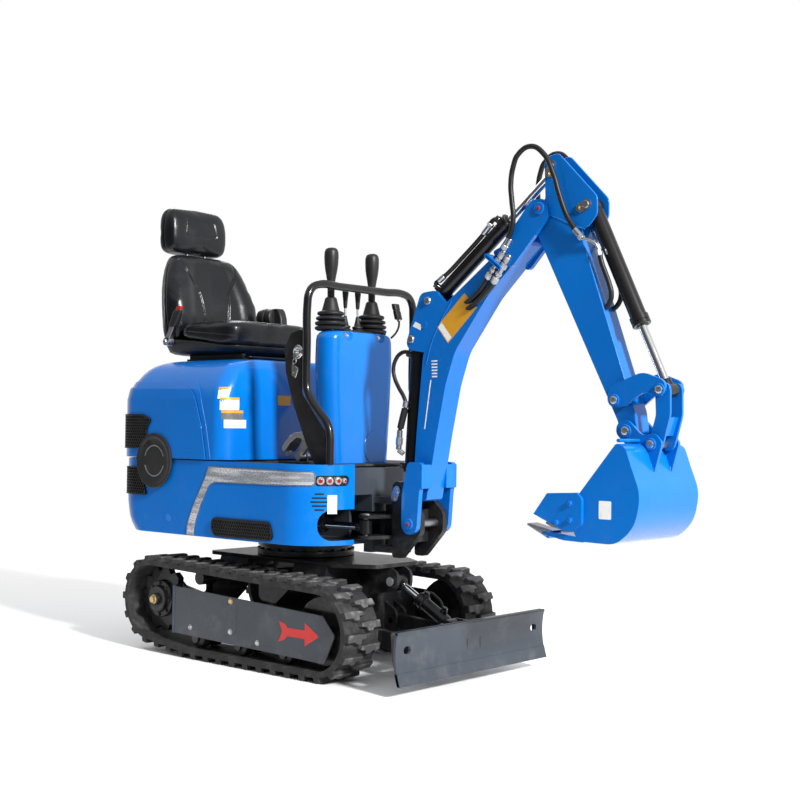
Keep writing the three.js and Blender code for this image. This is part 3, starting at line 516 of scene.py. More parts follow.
class Finish(Enum):
    """Every finish on the machine."""

    BLUE = Paint("blue_paint", (0.001, 0.150, 0.55), (0.001, 0.132, 0.50), 0.22, 0.35, 0.10, 0.06)
    GREY = Paint("slate_grey_paint", (0.038, 0.046, 0.058), (0.032, 0.039, 0.050), 0.32, 0.3, 0.22, 0.10)
    BLACK = Paint("chassis_black_paint", (0.008, 0.008, 0.009), (0.012, 0.012, 0.013), 0.36, 0.25, 0.25, 0.18)
    GLOSS_BLACK = Paint("tube_black_paint", (0.006, 0.006, 0.007), (0.009, 0.009, 0.010), 0.26, 0.4, 0.1, 0.06)
    TRACK = Rubber("track_rubber", (0.017, 0.017, 0.018), (0.07, 0.068, 0.064), 0.72, 380, 0.55)
    LUG = Rubber("lug_rubber", (0.05, 0.05, 0.051), (0.17, 0.165, 0.155), 0.62, 300, 0.9)
    BOOT = Rubber("boot_rubber", (0.01, 0.01, 0.011), (0.03, 0.03, 0.03), 0.5, 600, 0.2)
    HOSE = Rubber("hose_rubber", (0.009, 0.009, 0.01), (0.03, 0.03, 0.03), 0.42, 700, 0.25)
    MAT = Rubber("deck_mat", (0.02, 0.02, 0.021), (0.08, 0.078, 0.072), 0.7, 500, 0.5)
    CHROME = Plate("rod_chrome", (0.80, 0.81, 0.83), (0.55, 0.55, 0.56), 0.07, (1, 1, 1), 0.2)
    ZINC = Plate("zinc_plate", (0.50, 0.51, 0.53), (0.26, 0.25, 0.24), 0.28, (1, 1, 1), 0.6)
    BRASS = Plate("yellow_zinc", (0.62, 0.47, 0.24), (0.34, 0.25, 0.13), 0.3, (1, 1, 1), 0.5)
    STEEL = Plate("ground_steel", (0.32, 0.33, 0.35), (0.16, 0.15, 0.15), 0.34, (1, 9, 1), 0.6)
    # The trim foil's second, darker colour is the tone of its painted reflection bands.
    FOIL = Foil("trim_foil", (0.86, 0.88, 0.92), (0.42, 0.45, 0.50))
    SILVER = Plate("silver_band", (0.50, 0.51, 0.54), (0.40, 0.41, 0.43), 0.28, (1, 1, 1), 0.3)
    VINYL = Vinyl("seat_vinyl", (0.005, 0.0055, 0.0075), (0.011, 0.012, 0.015))
    PLASTIC = Moulding("black_plastic", (0.012, 0.012, 0.013), (0.022, 0.022, 0.023), 0.42)
    GRILLE = Moulding("grille_plastic", (0.008, 0.008, 0.009), (0.016, 0.016, 0.017), 0.5)
    # Painted shadow: a near-black matt finish for the thin sheets laid on the shell where the louvre slits show only
    # shade.
    VOID = Moulding("inner_shadow", (0.004, 0.004, 0.004), (0.008, 0.008, 0.008), 0.85)
    RED_CAP = Moulding("red_plastic", (0.40, 0.012, 0.008), (0.30, 0.012, 0.009), 0.42)
    RED_LENS = Lens("red_lens", (0.50, 0.014, 0.008), (0.20, 0.005, 0.003))
    CLEAR_LENS = Lens("clear_lens", (0.55, 0.56, 0.58), (0.20, 0.21, 0.22))
    ARROW = Label("red_film", (0.55, 0.014, 0.010), (0.46, 0.018, 0.014))
    WHITE_LABEL = Label("white_film", (0.82, 0.82, 0.80), (0.70, 0.70, 0.67))
    AMBER_LABEL = Label("amber_film", (0.62, 0.30, 0.02), (0.54, 0.26, 0.03))
    GREY_LABEL = Label("grey_film", (0.12, 0.12, 0.12), (0.2, 0.2, 0.19))
    BLUE_CLIP = Moulding("blue_clip_plastic", (0.01, 0.16, 0.62), (0.01, 0.12, 0.5), 0.4)

    @property
    def material(self) -> bpy.types.Material:
        """The finish's material, made when first asked for."""
        found = bpy.data.materials.get(self.value.name)
        return found or self.value.build()


# ---------------------------------------------------------------- workbench


def rounded(corners: Sequence[Sequence[float]], steps: int = 6) -> list[Flat]:
    """An outline whose corners are rounded with true arcs.

    Args:
        corners: u, v and, where it is rounded, the radius of each corner.
        steps: parts of each arc.

    Returns:
        The outline's points.
    """
    points: list[Flat] = []
    for i, corner in enumerate(corners):
        here = Vector(corner[:2])
        if len(corner) < 3:
            points.append(tuple(here))
            continue
        back = (Vector(corners[i - 1][:2]) - here).normalized()
        ahead = (Vector(corners[(i + 1) % len(corners)][:2]) - here).normalized()
        half = math.acos(max(-1.0, min(1.0, back.dot(ahead)))) / 2
        centre = here + (back + ahead).normalized() * (corner[2] / math.sin(half))
        start = here + back * (corner[2] / math.tan(half)) - centre
        end = here + ahead * (corner[2] / math.tan(half)) - centre
        sweep = math.atan2(start.x * end.y - start.y * end.x, start.dot(end))
        for k in range(steps + 1):
            angle = sweep * k / steps
            turned = Matrix.Rotation(angle, 2) @ start
            points.append(tuple(turned + centre))
    return points


def oval(u: float, v: float, wide: float, high: float, steps: int = 8) -> list[Flat]:
    """A slot with round ends.

    Args:
        u: middle along the first axis.
        v: middle along the second axis.
        wide: size along the first axis.
        high: size along the second axis.
        steps: parts of each quarter.

    Returns:
        The outline's points.
    """
    r = min(wide, high) / 2 - 0.01
    sides = ((1, 1), (-1, 1), (-1, -1), (1, -1))
    return rounded([(u + a * wide / 2, v + b * high / 2, r) for a, b in sides], steps)


class Bench:
    """Blender's own modelling tools, used on one object at a time."""

    @staticmethod
    def pick(*pieces: bpy.types.Object) -> None:
        """Select these pieces only; the first is active."""
        bpy.ops.object.select_all(action="DESELECT")
        for piece in pieces:
            piece.select_set(True)
        bpy.context.view_layer.objects.active = pieces[0]

    @staticmethod
    @contextmanager
    def editing(piece: bpy.types.Object, mode: str = "VERT") -> Iterator[bmesh.types.BMesh]:
        """Open a piece in edit mode with nothing selected.

        Args:
            piece: the piece.
            mode: which elements are selected.

        Returns:
            The open mesh, good until an operator changes it.
        """
        Bench.pick(piece)
        bpy.ops.object.mode_set(mode="EDIT")
        bpy.ops.mesh.select_mode(type=mode)
        bpy.ops.mesh.select_all(action="DESELECT")
        try:
            yield bmesh.from_edit_mesh(piece.data)
        finally:
            bpy.ops.object.mode_set(mode="OBJECT")

    @staticmethod
    def choose(piece: bpy.types.Object, kind: str, test: Callable) -> int:
        """Select elements of the open mesh.

        Args:
            piece: the piece in edit mode.
            kind: "verts", "edges" or "faces".
            test: says which of them.

        Returns:
            How many are selected.
        """
        bpy.ops.mesh.select_all(action="DESELECT")
        mesh = bmesh.from_edit_mesh(piece.data)
        chosen = [element for element in getattr(mesh, kind) if test(element)]
        for element in chosen:
            element.select_set(True)
        bmesh.update_edit_mesh(piece.data)
        return len(chosen)

    @staticmethod
    def loft(name: str, rings: Sequence[Sequence[Vector]]) -> bpy.types.Object:
        """A closed body through rings of equal count: a filled circle, shaped and extruded from ring to ring.

        Args:
            name: the piece's name.
            rings: the places of each ring's points.

        Returns:
            The piece.
        """
        bpy.ops.object.select_all(action="DESELECT")
        bpy.ops.mesh.primitive_circle_add(vertices=len(rings[0]), fill_type="NGON")
        piece = bpy.context.active_object
        piece.name = piece.data.name = name
        with Bench.editing(piece, "FACE") as mesh:
            for vert, place in zip(mesh.verts, rings[0]):
                vert.co = place
            bpy.ops.mesh.select_all(action="SELECT")
            for last, ring in zip(rings, rings[1:]):
                order = {tuple(round(c, 6) for c in place): i for i, place in enumerate(last)}
                bpy.ops.mesh.extrude_region_move()
                for vert in bmesh.from_edit_mesh(piece.data).verts:
                    if vert.select:
                        vert.co = ring[order[tuple(round(c, 6) for c in vert.co)]]
            bpy.ops.mesh.select_all(action="SELECT")
            bpy.ops.mesh.normals_make_consistent(inside=False)
        return piece

    @staticmethod
    def slab(name: str, outline: Sequence[Flat], low: float, high: float, along: str = "Y") -> bpy.types.Object:
        """A plate of any outline, in millimetres.

        Args:
            name: the piece's name.
            outline: points in the plate's own plane: XZ, XY or YZ.
            low: where it starts along its thickness.
            high: where it ends.
            along: the axis that it is thick along.

        Returns:
            The piece.
        """
        put = {"Y": lambda u, v, w: at(u, w, v), "Z": lambda u, v, w: at(u, v, w), "X": lambda u, v, w: at(w, u, v)}
        return Bench.loft(name, [[put[along](u, v, w) for u, v in outline] for w in (low, high)])

    @staticmethod
    def block(name: str, x: Flat, y: Flat, z: Flat) -> bpy.types.Object:
        """A straight-sided block, in millimetres."""
        return Bench.slab(name, [(x[0], z[0]), (x[1], z[0]), (x[1], z[1]), (x[0], z[1])], y[0], y[1])

    @staticmethod
    def turned(
        name: str, profile: Sequence[Flat], start: Point, end: Point, sides: int = 40
    ) -> bpy.types.Object:
        """A body turned on a lathe, in millimetres.

        Args:
            name: the piece's name.
            profile: distance along the axis and radius of each ring.
            start: the axis' first point.
            end: a later point on the axis.
            sides: points of each ring.

        Returns:
            The piece.
        """
        first = at(*start)
        axis = (at(*end) - first).normalized()
        aside = axis.orthogonal().normalized()
        across = axis.cross(aside)
        rings = []
        for along, radius in profile:
            centre = first + axis * (along * MM)
            turns = [2 * math.pi * i / sides for i in range(sides)]
            rings.append([centre + (aside * math.cos(t) + across * math.sin(t)) * (radius * MM) for t in turns])
        return Bench.loft(name, rings)

    @staticmethod
    def rod(name: str, start: Point, end: Point, radius: float, sides: int = 32, edge: float = 1) -> bpy.types.Object:
        """A round bar with chamfered ends.

        Args:
            name: the piece's name.
            start: one end's middle, in millimetres.
            end: the other end's middle.
            radius: its radius.
            sides: points round it.
            edge: the chamfer's size.

        Returns:
            The piece.
        """
        length = math.dist(start, end)
        edge = min(edge, radius * 0.5, length * 0.4)
        profile = [(0, radius - edge), (edge, radius), (length - edge, radius), (length, radius - edge)]
        return Bench.turned(name, profile, start, end, sides)

    @staticmethod
    def pin(name: str, x: float, z: float, y: Flat, radius: float, sides: int = 32, edge: float = 1) -> bpy.types.Object:
        """A round bar that runs across the machine."""
        return Bench.rod(name, (x, y[0], z), (x, y[1], z), radius, sides, edge)

    @staticmethod
    def bolt(name: str, place: Point, facing: Point, size: float = 9, tall: float = 6) -> bpy.types.Object:
        """A hexagon head on a washer.

        Args:
            name: the piece's name.
            place: the middle of its seat, in millimetres.
            facing: the way that it stands out.
            size: the head's radius over its corners.
            tall: how far it stands out.

        Returns:
            The piece.
        """
        out = Vector(facing).normalized()
        far = tuple(Vector(place) + out * 20)
        washer = Bench.rod(name, place, tuple(Vector(place) + out * 1.8), size * 1.25, 24, 0.4)
        head = Bench.turned(name, [(0.5, size), (tall - 1.5, size), (tall, size * 0.84)], place, far, 6)
        return Bench.join(name, washer, head)

    @staticmethod
    def tube(name: str, points: Sequence[Point], radius: float, around: int = 3, fine: int = 6) -> bpy.types.Object:
        """A round tube along a smooth line, in millimetres.

        Args:
            name: the piece's name.
            points: places that its middle passes.
            radius: its radius.
            around: how finely it is round.
            fine: parts between two places.

        Returns:
            The piece, as a mesh.
        """
        line = bpy.data.curves.new(name, "CURVE")
        line.dimensions = "3D"
        line.bevel_depth = radius * MM
        line.bevel_resolution = around
        line.resolution_u = fine
        line.use_fill_caps = True
        spline = line.splines.new("BEZIER")
        spline.bezier_points.add(len(points) - 1)
        for knot, place in zip(spline.bezier_points, points):
            knot.co = at(*place)
            knot.handle_left_type = knot.handle_right_type = "AUTO"
        piece = bpy.data.objects.new(name, line)
        bpy.context.scene.collection.objects.link(piece)
        Bench.pick(piece)
        bpy.ops.object.convert(target="MESH")
        piece = bpy.context.active_object
        Bench.weld(piece)
        return piece

    @staticmethod
    def sliced(piece: bpy.types.Object, low: float, high: float, count: int) -> bpy.types.Object:
        """Cut a piece's faces across X, so that it can bend.

        Args:
            piece: the piece.
            low: the first cut, in millimetres.
            high: the last cut.
            count: parts between them.

        Returns:
            The piece.
        """
        with Bench.editing(piece):
            for i in range(count + 1):
                bpy.ops.mesh.select_all(action="SELECT")
                place = at(low + (high - low) * (i + 0.01) / (count + 0.02), 0, 0)
                bpy.ops.mesh.bisect(plane_co=place, plane_no=(1, 0, 0))
        return piece

    @staticmethod
    def weld(piece: bpy.types.Object, reach: float = 0.00002) -> None:
        """Merge doubles and turn every face outwards."""
        with Bench.editing(piece):
            bpy.ops.mesh.select_all(action="SELECT")
            bpy.ops.mesh.remove_doubles(threshold=reach)
            bpy.ops.mesh.normals_make_consistent(inside=False)

    @staticmethod
    def modify(piece: bpy.types.Object, kind: str, **settings: object) -> bpy.types.Object:
        """Add a modifier and apply it.

        Args:
            piece: the piece.
            kind: the modifier's type.
            **settings: its settings.

        Returns:
            The piece.
        """
        Bench.pick(piece)
        modifier = piece.modifiers.new(kind.title(), kind)
        for key, value in settings.items():
            setattr(modifier, key, value)
        bpy.ops.object.modifier_apply(modifier=modifier.name)
        return piece

    @staticmethod
    def soften(piece: bpy.types.Object, width: float = 1.2, segments: int = 2, angle: float = 32) -> bpy.types.Object:
        """Bevel the sharp edges.

        Args:
            piece: the piece.
            width: the bevel's width, in millimetres.
            segments: its parts.
            angle: how sharp an edge has to be, in degrees.

        Returns:
            The piece.
        """
        settings = {"limit_method": "ANGLE", "angle_limit": math.radians(angle), "miter_outer": "MITER_ARC"}
        return Bench.modify(piece, "BEVEL", width=width * MM, segments=segments, **settings)

    @staticmethod
    def carve(piece: bpy.types.Object, *tools: bpy.types.Object, way: str = "DIFFERENCE") -> bpy.types.Object:
        """Cut a piece with others, which are used up.

        Args:
            piece: what is cut.
            *tools: what cuts it.
            way: the cut's kind.

        Returns:
            The piece.
        """
        for tool in tools:
            Bench.modify(piece, "BOOLEAN", object=tool, operation=way, solver="EXACT")
            bpy.data.objects.remove(tool)
        return piece

    @staticmethod
    def join(name: str, *pieces: bpy.types.Object) -> bpy.types.Object:
        """Make one object of several."""
        Bench.pick(*pieces)
        bpy.ops.object.join()
        joined = bpy.context.active_object
        joined.name = joined.data.name = name
        return joined

    @staticmethod
    def copy(piece: bpy.types.Object, name: str, move: Matrix | None = None) -> bpy.types.Object:
        """A copy with its own mesh.

        Args:
            piece: what is copied.
            name: the copy's name.
            move: where it goes.

        Returns:
            The copy.
        """
        Bench.pick(piece)
        bpy.ops.object.duplicate()
        made = bpy.context.active_object
        made.name = made.data.name = name
        if move is not None:
            made.data.transform(move)
            if move.determinant() < 0:
                Bench.weld(made)
        return made

    @staticmethod
    def across(piece: bpy.types.Object, name: str) -> bpy.types.Object:
        """The mirror image on the machine's other side."""
        return Bench.copy(piece, name, Matrix.Scale(-1, 4, (0, 1, 0)))

    @staticmethod
    def refined(node: str, name: str, width: float = 1.5, segments: int = 2, angle: float = 32) -> bpy.types.Object:
        """A softened copy of a frame node.

        Args:
            node: the node.
            name: the copy's name.
            width: the bevels' width, in millimetres.
            segments: their parts.
            angle: how sharp a bevelled edge has to be, in degrees.

        Returns:
            The copy.
        """
        made = bpy.data.objects.new(name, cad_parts[node].data.copy())
        bpy.context.scene.collection.objects.link(made)
        made.data.materials.clear()
        with Bench.editing(made):
            bpy.ops.mesh.select_all(action="SELECT")
            bpy.ops.mesh.remove_doubles(threshold=0.00001)
            bpy.ops.mesh.dissolve_limited(angle_limit=math.radians(0.6))
        return Bench.soften(made, width, segments, angle)

    @staticmethod
    def tint(piece: bpy.types.Object, finish: Finish, test: Callable[[bpy.types.MeshPolygon], bool]) -> None:
        """Give some of a dressed piece's faces another finish.

        Args:
            piece: the piece, after dress.
            finish: their finish.
            test: says which faces.
        """
        piece.data.materials.append(finish.material)
        number = len(piece.data.materials) - 1
        for face in piece.data.polygons:
            if test(face):
                face.material_index = number

    @staticmethod
    def dress(
        piece: bpy.types.Object, finish: Finish, body: str, *nodes: str, smooth: float = 40
    ) -> bpy.types.Object:
        """Finish a piece: its material, shading, body and the frame nodes that it stands for.

        Args:
            piece: the piece.
            finish: its finish.
            body: the body that it rides on.
            *nodes: nodes that it replaces.
            smooth: the angle that stays sharp, in degrees.

        Returns:
            The piece.
        """
        piece.data.materials.clear()
        piece.data.materials.append(finish.material)
        Bench.pick(piece)
        bpy.ops.object.shade_smooth_by_angle(angle=math.radians(smooth))
        Bench.modify(piece, "WEIGHTED_NORMAL", keep_sharp=True, weight=60)
        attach(piece, body)
        if nodes:
            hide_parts(*nodes)
        log.info("%s: %d faces", piece.name, len(piece.data.polygons))
        return piece


# ---------------------------------------------------------------- undercarriage


@dataclass
class Belt:
    """A rubber track: a loop over the idler and the sprocket, with hooked lugs along both edges."""

    side: Side
    idler: Flat = (452, 172)
    sprocket: Flat = (-452, 199)
    heel: Flat = (-230, 172)
    radius: float = 154
    thick: float = 20
    lug: float = 18
    inner: float = 240
    outer: float = 410
    pitches: int = 38
    runs: list[tuple] = field(default_factory=list)

    def __post_init__(self) -> None:
        """Work out the arcs and straights of the loop."""
        corners = [Vector(self.idler), Vector(self.sprocket), Vector(self.heel)]
        facing = [math.atan2(-(b - a).x, (b - a).y) for a, b in zip(corners, corners[1:] + corners[:1])]
        for i, corner in enumerate(corners):
            sweep = (facing[i] - facing[i - 1]) % (2 * math.pi)
            ahead = corners[(i + 1) % 3]
            self.runs.append((corner, corner, facing[i - 1], sweep, self.radius * sweep))
            self.runs.append((corner, ahead, facing[i], 0.0, (ahead - corner).length))

    @property
    def length(self) -> float:
        """The loop's length, in millimetres."""
        return sum(run[4] for run in self.runs)

    def spot(self, distance: float) -> tuple[Vector, float]:
        """A place on the loop.

        Args:
            distance: how far along it.

        Returns:
            The place on the neutral line and the way that it faces.
        """
        left = distance % self.length
        for start, end, angle, sweep, length in self.runs:
            if left <= length:
                break
            left -= length
        return start.lerp(end, left / length), angle + sweep * left / length

    def loop(self, radius: float) -> list[Flat]:
        """The outline at a radius, as a smooth polygon."""
        points = []
        for start, end, angle, sweep, _ in self.runs:
            steps = max(1, round(math.degrees(sweep) / 5))
            for k in range(steps):
                turn = angle + sweep * k / steps
                points.append((start.x + radius * math.cos(turn), start.y + radius * math.sin(turn)))
        return points

    def _lug(self, name: str) -> bpy.types.Object:
        """One lug at the origin: X along the belt, Y across it from its edge, Z outwards."""
        outline = [(-13, 0), (-13, 36), (-22, 48), (-22, 68), (-8, 74), (-4, 98), (11, 98), (14, 60), (14, 0)]
        middle = Vector((-2, 46))
        rings = []
        for high, share in ((-3, 1.08), (self.lug - 3, 0.94), (self.lug, 0.86)):
            ring = [(Vector(p) - middle) * share + middle for p in outline]
            rings.append([Vector((p.x, max(p.y, 0.5 if share > 1 else 2.0), high)) * MM for p in ring])
        return Bench.soften(Bench.loft(name, rings), 1.2, 1, 28)

    def build(self) -> None:
        """Model and dress both pieces."""
        sign = self.side.value
        low, high = sorted((sign * self.inner, sign * self.outer))
        belt = Bench.slab("belt_" + self.side.tag, self.loop(self.radius), low, high)
        hole = Bench.slab("hole", self.loop(self.radius - self.thick), low - 10, high + 10)
        Bench.soften(Bench.carve(belt, hole), 3, 2, 50)
        Bench.dress(belt, Finish.TRACK, "undercarriage", "track_" + self.side.tag, smooth=30)
        lug = self._lug("lug")
        lugs = []
        for i in range(2 * self.pitches):
            place, turn = self.spot((i / 2 + 0.25) * self.length / self.pitches)
            out = Vector((math.cos(turn), 0, math.sin(turn)))
            ahead = Vector((-out.z, 0, out.x))
            edge, inward = (self.outer, -sign) if i % 2 == 0 else (self.inner, sign)
            foot = at(place.x, sign * edge, place.y) + out * (self.radius * MM)
            move = Matrix((ahead, Vector((0, inward, 0)), out)).transposed().to_4x4()
            lugs.append(Bench.copy(lug, "lug_%02d" % i, Matrix.Translation(foot) @ move))
        bpy.data.objects.remove(lug)
        treads = Bench.join("lugs_" + self.side.tag, *lugs)
        Bench.dress(treads, Finish.TRACK, "undercarriage", smooth=35)
        loop = [(Vector(run[0]), Vector(run[1])) for run in self.runs]

        def worn(face: bpy.types.MeshPolygon) -> bool:
            """Faces near the lugs' tips."""
            spot = Vector(((face.center.x - SLEW.x) / MM, face.center.z / MM))
            reach = min(self._gap(spot, a, b) for a, b in loop)
            return reach > self.radius + self.lug - 2.2

        Bench.tint(treads, Finish.LUG, worn)

    @staticmethod
    def _gap(spot: Vector, a: Vector, b: Vector) -> float:
        """The distance from a spot to a straight run."""
        along = b - a
        share = 0.0 if along.length < 1e-6 else max(0.0, min(1.0, (spot - a).dot(along) / along.length_squared))
        return (spot - (a + along * share)).length


@dataclass
class Running:
    """The wheels inside a track, and the cover over its frame."""

    side: Side
    sprocket: Flat = (-452, 199)
    idler: Flat = (452, 172)
    rollers: tuple[float, ...] = (-200, 40, 280)
    roller_z: float = 75
    cover: tuple[Flat, ...] = ((-320, 86), (495, 67, 14), (543, 170, 16), (484, 232, 14), (-320, 264))

    def _y(self, value: float) -> float:
        """A distance from the centre line, on this side."""
        return self.side.value * value

    def _sprocket(self) -> None:
        """The toothed wheel, its motor and the hub's bolts."""
        x, z = self.sprocket
        tag, teeth = self.side.tag, []
        for i in range(11):
            for share, radius in ((0.02, 108), (0.3, 127), (0.72, 127), (0.98, 108)):
                turn = 2 * math.pi * (i + share) / 11
                teeth.append((x + radius * math.cos(turn), z + radius * math.sin(turn)))
        wheel = Bench.soften(Bench.slab("wheel", teeth, *sorted((self._y(312), self._y(340)))), 3, 2, 25)
        profile = [(0, 70), (2, 72), (92, 72), (94, 69), (94, 53), (108, 50), (110, 48), (110, 24), (122, 22), (124, 20)]
        hub = Bench.turned("hub", profile, (x, self._y(262), z), (x, self._y(400), z), 56)
        drive = Bench.join("drive_wheel_" + tag, wheel, hub)
        Bench.dress(drive, Finish.BLACK, "undercarriage", "sprocket_" + tag, smooth=30)
        ring = [Bench.bolt("b", (x + 61 * math.cos(t), self._y(356), z + 61 * math.sin(t)), (0, self._y(1), 0), 6, 6)
                for t in (2 * math.pi * i / 8 for i in range(8))]
        Bench.dress(Bench.join("hub_bolts_" + tag, *ring), Finish.BLACK, "undercarriage", smooth=30)
        nut = Bench.bolt("hub_nut_" + tag, (x, self._y(385), z), (0, self._y(1), 0), 14, 12)
        Bench.dress(nut, Finish.BRASS, "undercarriage", smooth=30)

    def _idler(self) -> None:
        """The smooth front wheel."""
        x, z = self.idler
        profile = [(0, 36), (2, 38), (34, 38), (34, 118), (38, 122), (52, 122), (56, 129), (58, 130),
                   (70, 130), (72, 129), (76, 122), (90, 122), (94, 118), (94, 60), (90, 38), (122, 38), (124, 35)]
        wheel = Bench.turned("guide_wheel_" + self.side.tag, profile, (x, self._y(262), z), (x, self._y(400), z), 64)
        Bench.dress(wheel, Finish.BLACK, "undercarriage", "idler_" + self.side.tag, smooth=30)

    def _rollers(self) -> None:
        """The lower rollers on their strip."""
        profile = [(0, 22), (10, 24), (14, 34), (16, 36), (44, 36), (46, 28), (72, 28), (74, 36), (112, 36), (114, 34),
                   (118, 18), (129, 17)]
        set_ = [Bench.turned("r", profile, (x, self._y(257), self.roller_z), (x, self._y(400), self.roller_z), 40)
                for x in self.rollers]
        low, high = sorted((self._y(286), self._y(298)))
        strip = Bench.soften(Bench.block("s", (-260, 320), (low, high), (60, 106)), 2)
        Bench.dress(Bench.join("rollers_" + self.side.tag, strip, *set_), Finish.BLACK, "undercarriage",
                    "track_rollers_" + self.side.tag, smooth=30)

    def _cover(self) -> None:
        """The cover plate with its folded rear edge, bolts, inspection lid and arrow."""
        tag, out = self.side.tag, (0, self._y(1), 0)
        low, high = sorted((self._y(386), self._y(392)))
        plate = Bench.soften(Bench.slab("p", rounded(self.cover), low, high), 1.5)
        low, high = sorted((self._y(350), self._y(395)))
        fold = Bench.soften(Bench.block("f", (-326, -314), (low, high), (84, 268)), 2.5, 3)
        Bench.dress(Bench.join("cover_plate_" + tag, plate, fold), Finish.GREY, "undercarriage", "side_cover_" + tag)
        low, high = sorted((self._y(391.5), self._y(393)))
        lid = Bench.soften(Bench.slab("lid_" + tag, oval(10, 180, 66, 128), low, high), 0.6)
        Bench.dress(lid, Finish.GREY, "undercarriage")
        spots = ((-218, 116, Finish.ZINC), (9, 124, Finish.ZINC), (9, 236, Finish.BRASS), (156, 101, Finish.ZINC))
        for i, (x, z, finish) in enumerate(spots):
            bolt = Bench.bolt("cover_bolt_%s_%d" % (tag, i), (x, self._y(392), z), out, 8.5, 7)
            Bench.dress(bolt, finish, "undercarriage", smooth=30)
        low, high = sorted((self._y(391.7), self._y(392.6)))
        shape = [(268, 192), (300, 184), (308, 172), (398, 172), (398, 198), (468, 158), (398, 118), (398, 143),
                 (308, 143), (296, 128), (266, 120), (284, 156)]
        arrow = Bench.slab("arrow_" + tag, shape, low, high)
        Bench.dress(Bench.soften(arrow, 0.3, 1), Finish.ARROW, "undercarriage")

    def build(self) -> None:
        """Model and dress the wheels and the cover."""
        self._sprocket()
        self._idler()
        self._rollers()
        self._cover()


@dataclass
class Chassis:
    """The welded frame between the tracks, and the slewing ring on it."""

    floor: float = 386
    top: float = 458
    ring: float = 188

    def build(self) -> None:
        """Model and dress the frame and the ring."""
        Bench.dress(Bench.refined("track_frame", "chassis", 2.5), Finish.BLACK, "undercarriage", "track_frame")
        profile = [(0.4, 186), (3, 188), (22, 188), (24, 176), (34, 176), (36, 186), (62, 186), (64, 178), (71.5, 178)]
        ring = Bench.turned("ring", profile, (0, 0, self.floor), (0, 0, self.top), 96)
        bolts = [Bench.bolt("b", (181 * math.cos(t), 181 * math.sin(t), self.floor + 22.5), (0, 0, 1), 7, 7)
                 for t in (2 * math.pi * (i + 0.5) / 20 for i in range(20))]
        Bench.dress(Bench.join("slewing_ring", ring, *bolts), Finish.BLACK, "undercarriage", "slew_ring", smooth=30)


@dataclass
class Ram:
    """A hydraulic ram: a barrel with its gland and ports, and a polished rod."""

    name: str
    base: Point
    head: Point
    barrel: float
    barrel_body: str
    rod_body: str
    radius: float = 27
    rod_radius: float = 14
    inside: float = 60
    eye: float = 28
    ports: Point | None = None
    rod_eye: float = 23
    hue: Finish = Finish.GLOSS_BLACK

    def _along(self, distance: float) -> Vector:
        """A place on the ram's line, in millimetres."""
        start, end = Vector(self.base), Vector(self.head)
        return start + (end - start).normalized() * distance

    def beside(self, distance: float, out: float, y: float) -> Point:
        """A place beside the ram.

        Args:
            distance: how far along it.
            out: how far off its line, on its upper side.
            y: its place across the machine.

        Returns:
            The place in millimetres.
        """
        ahead = (Vector(self.head) - Vector(self.base)).normalized()
        place = self._along(distance) + Vector((-ahead.z, 0, ahead.x)) * out
        return place.x, y, place.z

    def _eye(self, place: Vector, radius: float, bore: float) -> bpy.types.Object:
        """An eye with a bush whose ends stand a little proud."""
        flat = abs(self.base[1] - self.head[1]) < 1e-6
        across = Vector((0, 1, 0)) if flat else Vector((0, 0, 1))
        profile = [(0, bore + 1), (1, bore + 4), (3, bore + 4), (3, radius - 1.5), (4.5, radius),
                   (2 * self.eye - 4.5, radius), (2 * self.eye - 3, radius - 1.5), (2 * self.eye - 3, bore + 4),
                   (2 * self.eye - 1, bore + 4), (2 * self.eye, bore + 1)]
        start = place - across * self.eye
        return Bench.turned("eye", profile, tuple(start), tuple(start + across * 100), 40)

    def _port(self, distance: float) -> bpy.types.Object:
        """A square boss with a union nut on the barrel, facing the side that the ports name."""
        out = Vector(self.ports).normalized()
        start = self._along(distance)
        boss = Bench.turned("boss", [(self.radius - 4, 13), (self.radius + 8, 13), (self.radius + 9, 12)],
                            tuple(start), tuple(start + out * 60), 24)
        nut = Bench.turned("nut", [(self.radius + 8, 10), (self.radius + 18, 10), (self.radius + 19, 8)],
                           tuple(start), tuple(start + out * 60), 6)
        return Bench.join("port", boss, nut)

    def build(self) -> None:
        """Model and dress the barrel and the rod."""
        r, far = self.radius, tuple(self._along(1000))
        length = math.dist(self.base, self.head)
        profile = [(r * 0.55, r - 6), (r * 0.75, r - 1), (r * 0.95, r), (self.barrel - 34, r), (self.barrel - 32, r + 4),
                   (self.barrel - 14, r + 4), (self.barrel - 13, r + 1.5), (self.barrel - 10, r + 1.5),
                   (self.barrel - 9, r + 4), (self.barrel - 2, r + 4), (self.barrel, r + 2)]
        pieces = [Bench.turned("tube", profile, self.base, far, 56), self._eye(Vector(self.base), r * 0.95, 15)]
        if self.ports:
            pieces += [self._port(r * 1.9), self._port(self.barrel - 24)]
        body = Bench.join(self.name + "_barrel", *pieces)
        Bench.dress(body, self.hue, self.barrel_body, self.name + "_cylinder", smooth=30)
        s, end = self.rod_radius, length
        seal = Bench.turned(self.name + "_wiper", [(self.barrel - 1, s + 7), (self.barrel + 1.5, s + 6), (self.barrel + 3.5, s + 1.2)],
                            self.base, far, 40)
        Bench.dress(seal, Finish.BOOT, self.barrel_body, smooth=30)
        rod = Bench.turned(self.name + "_shaft", [(self.barrel - self.inside, s - 1), (self.barrel - self.inside + 1, s),
                                                  (end - 33, s), (end - 32, s - 0.5)], self.base, far, 48)
        Bench.dress(rod, Finish.CHROME, self.rod_body, smooth=30)
        collar = Bench.turned("collar", [(end - 34, s + 4), (end - 33, s + 5), (end - 12, s + 7), (end - 5, s + 5)],
                              self.base, far, 40)
        head = Bench.join(self.name + "_head", collar, self._eye(Vector(self.head), self.rod_eye, 12))
        Bench.dress(head, self.hue, self.rod_body, self.name + "_rod", smooth=30)


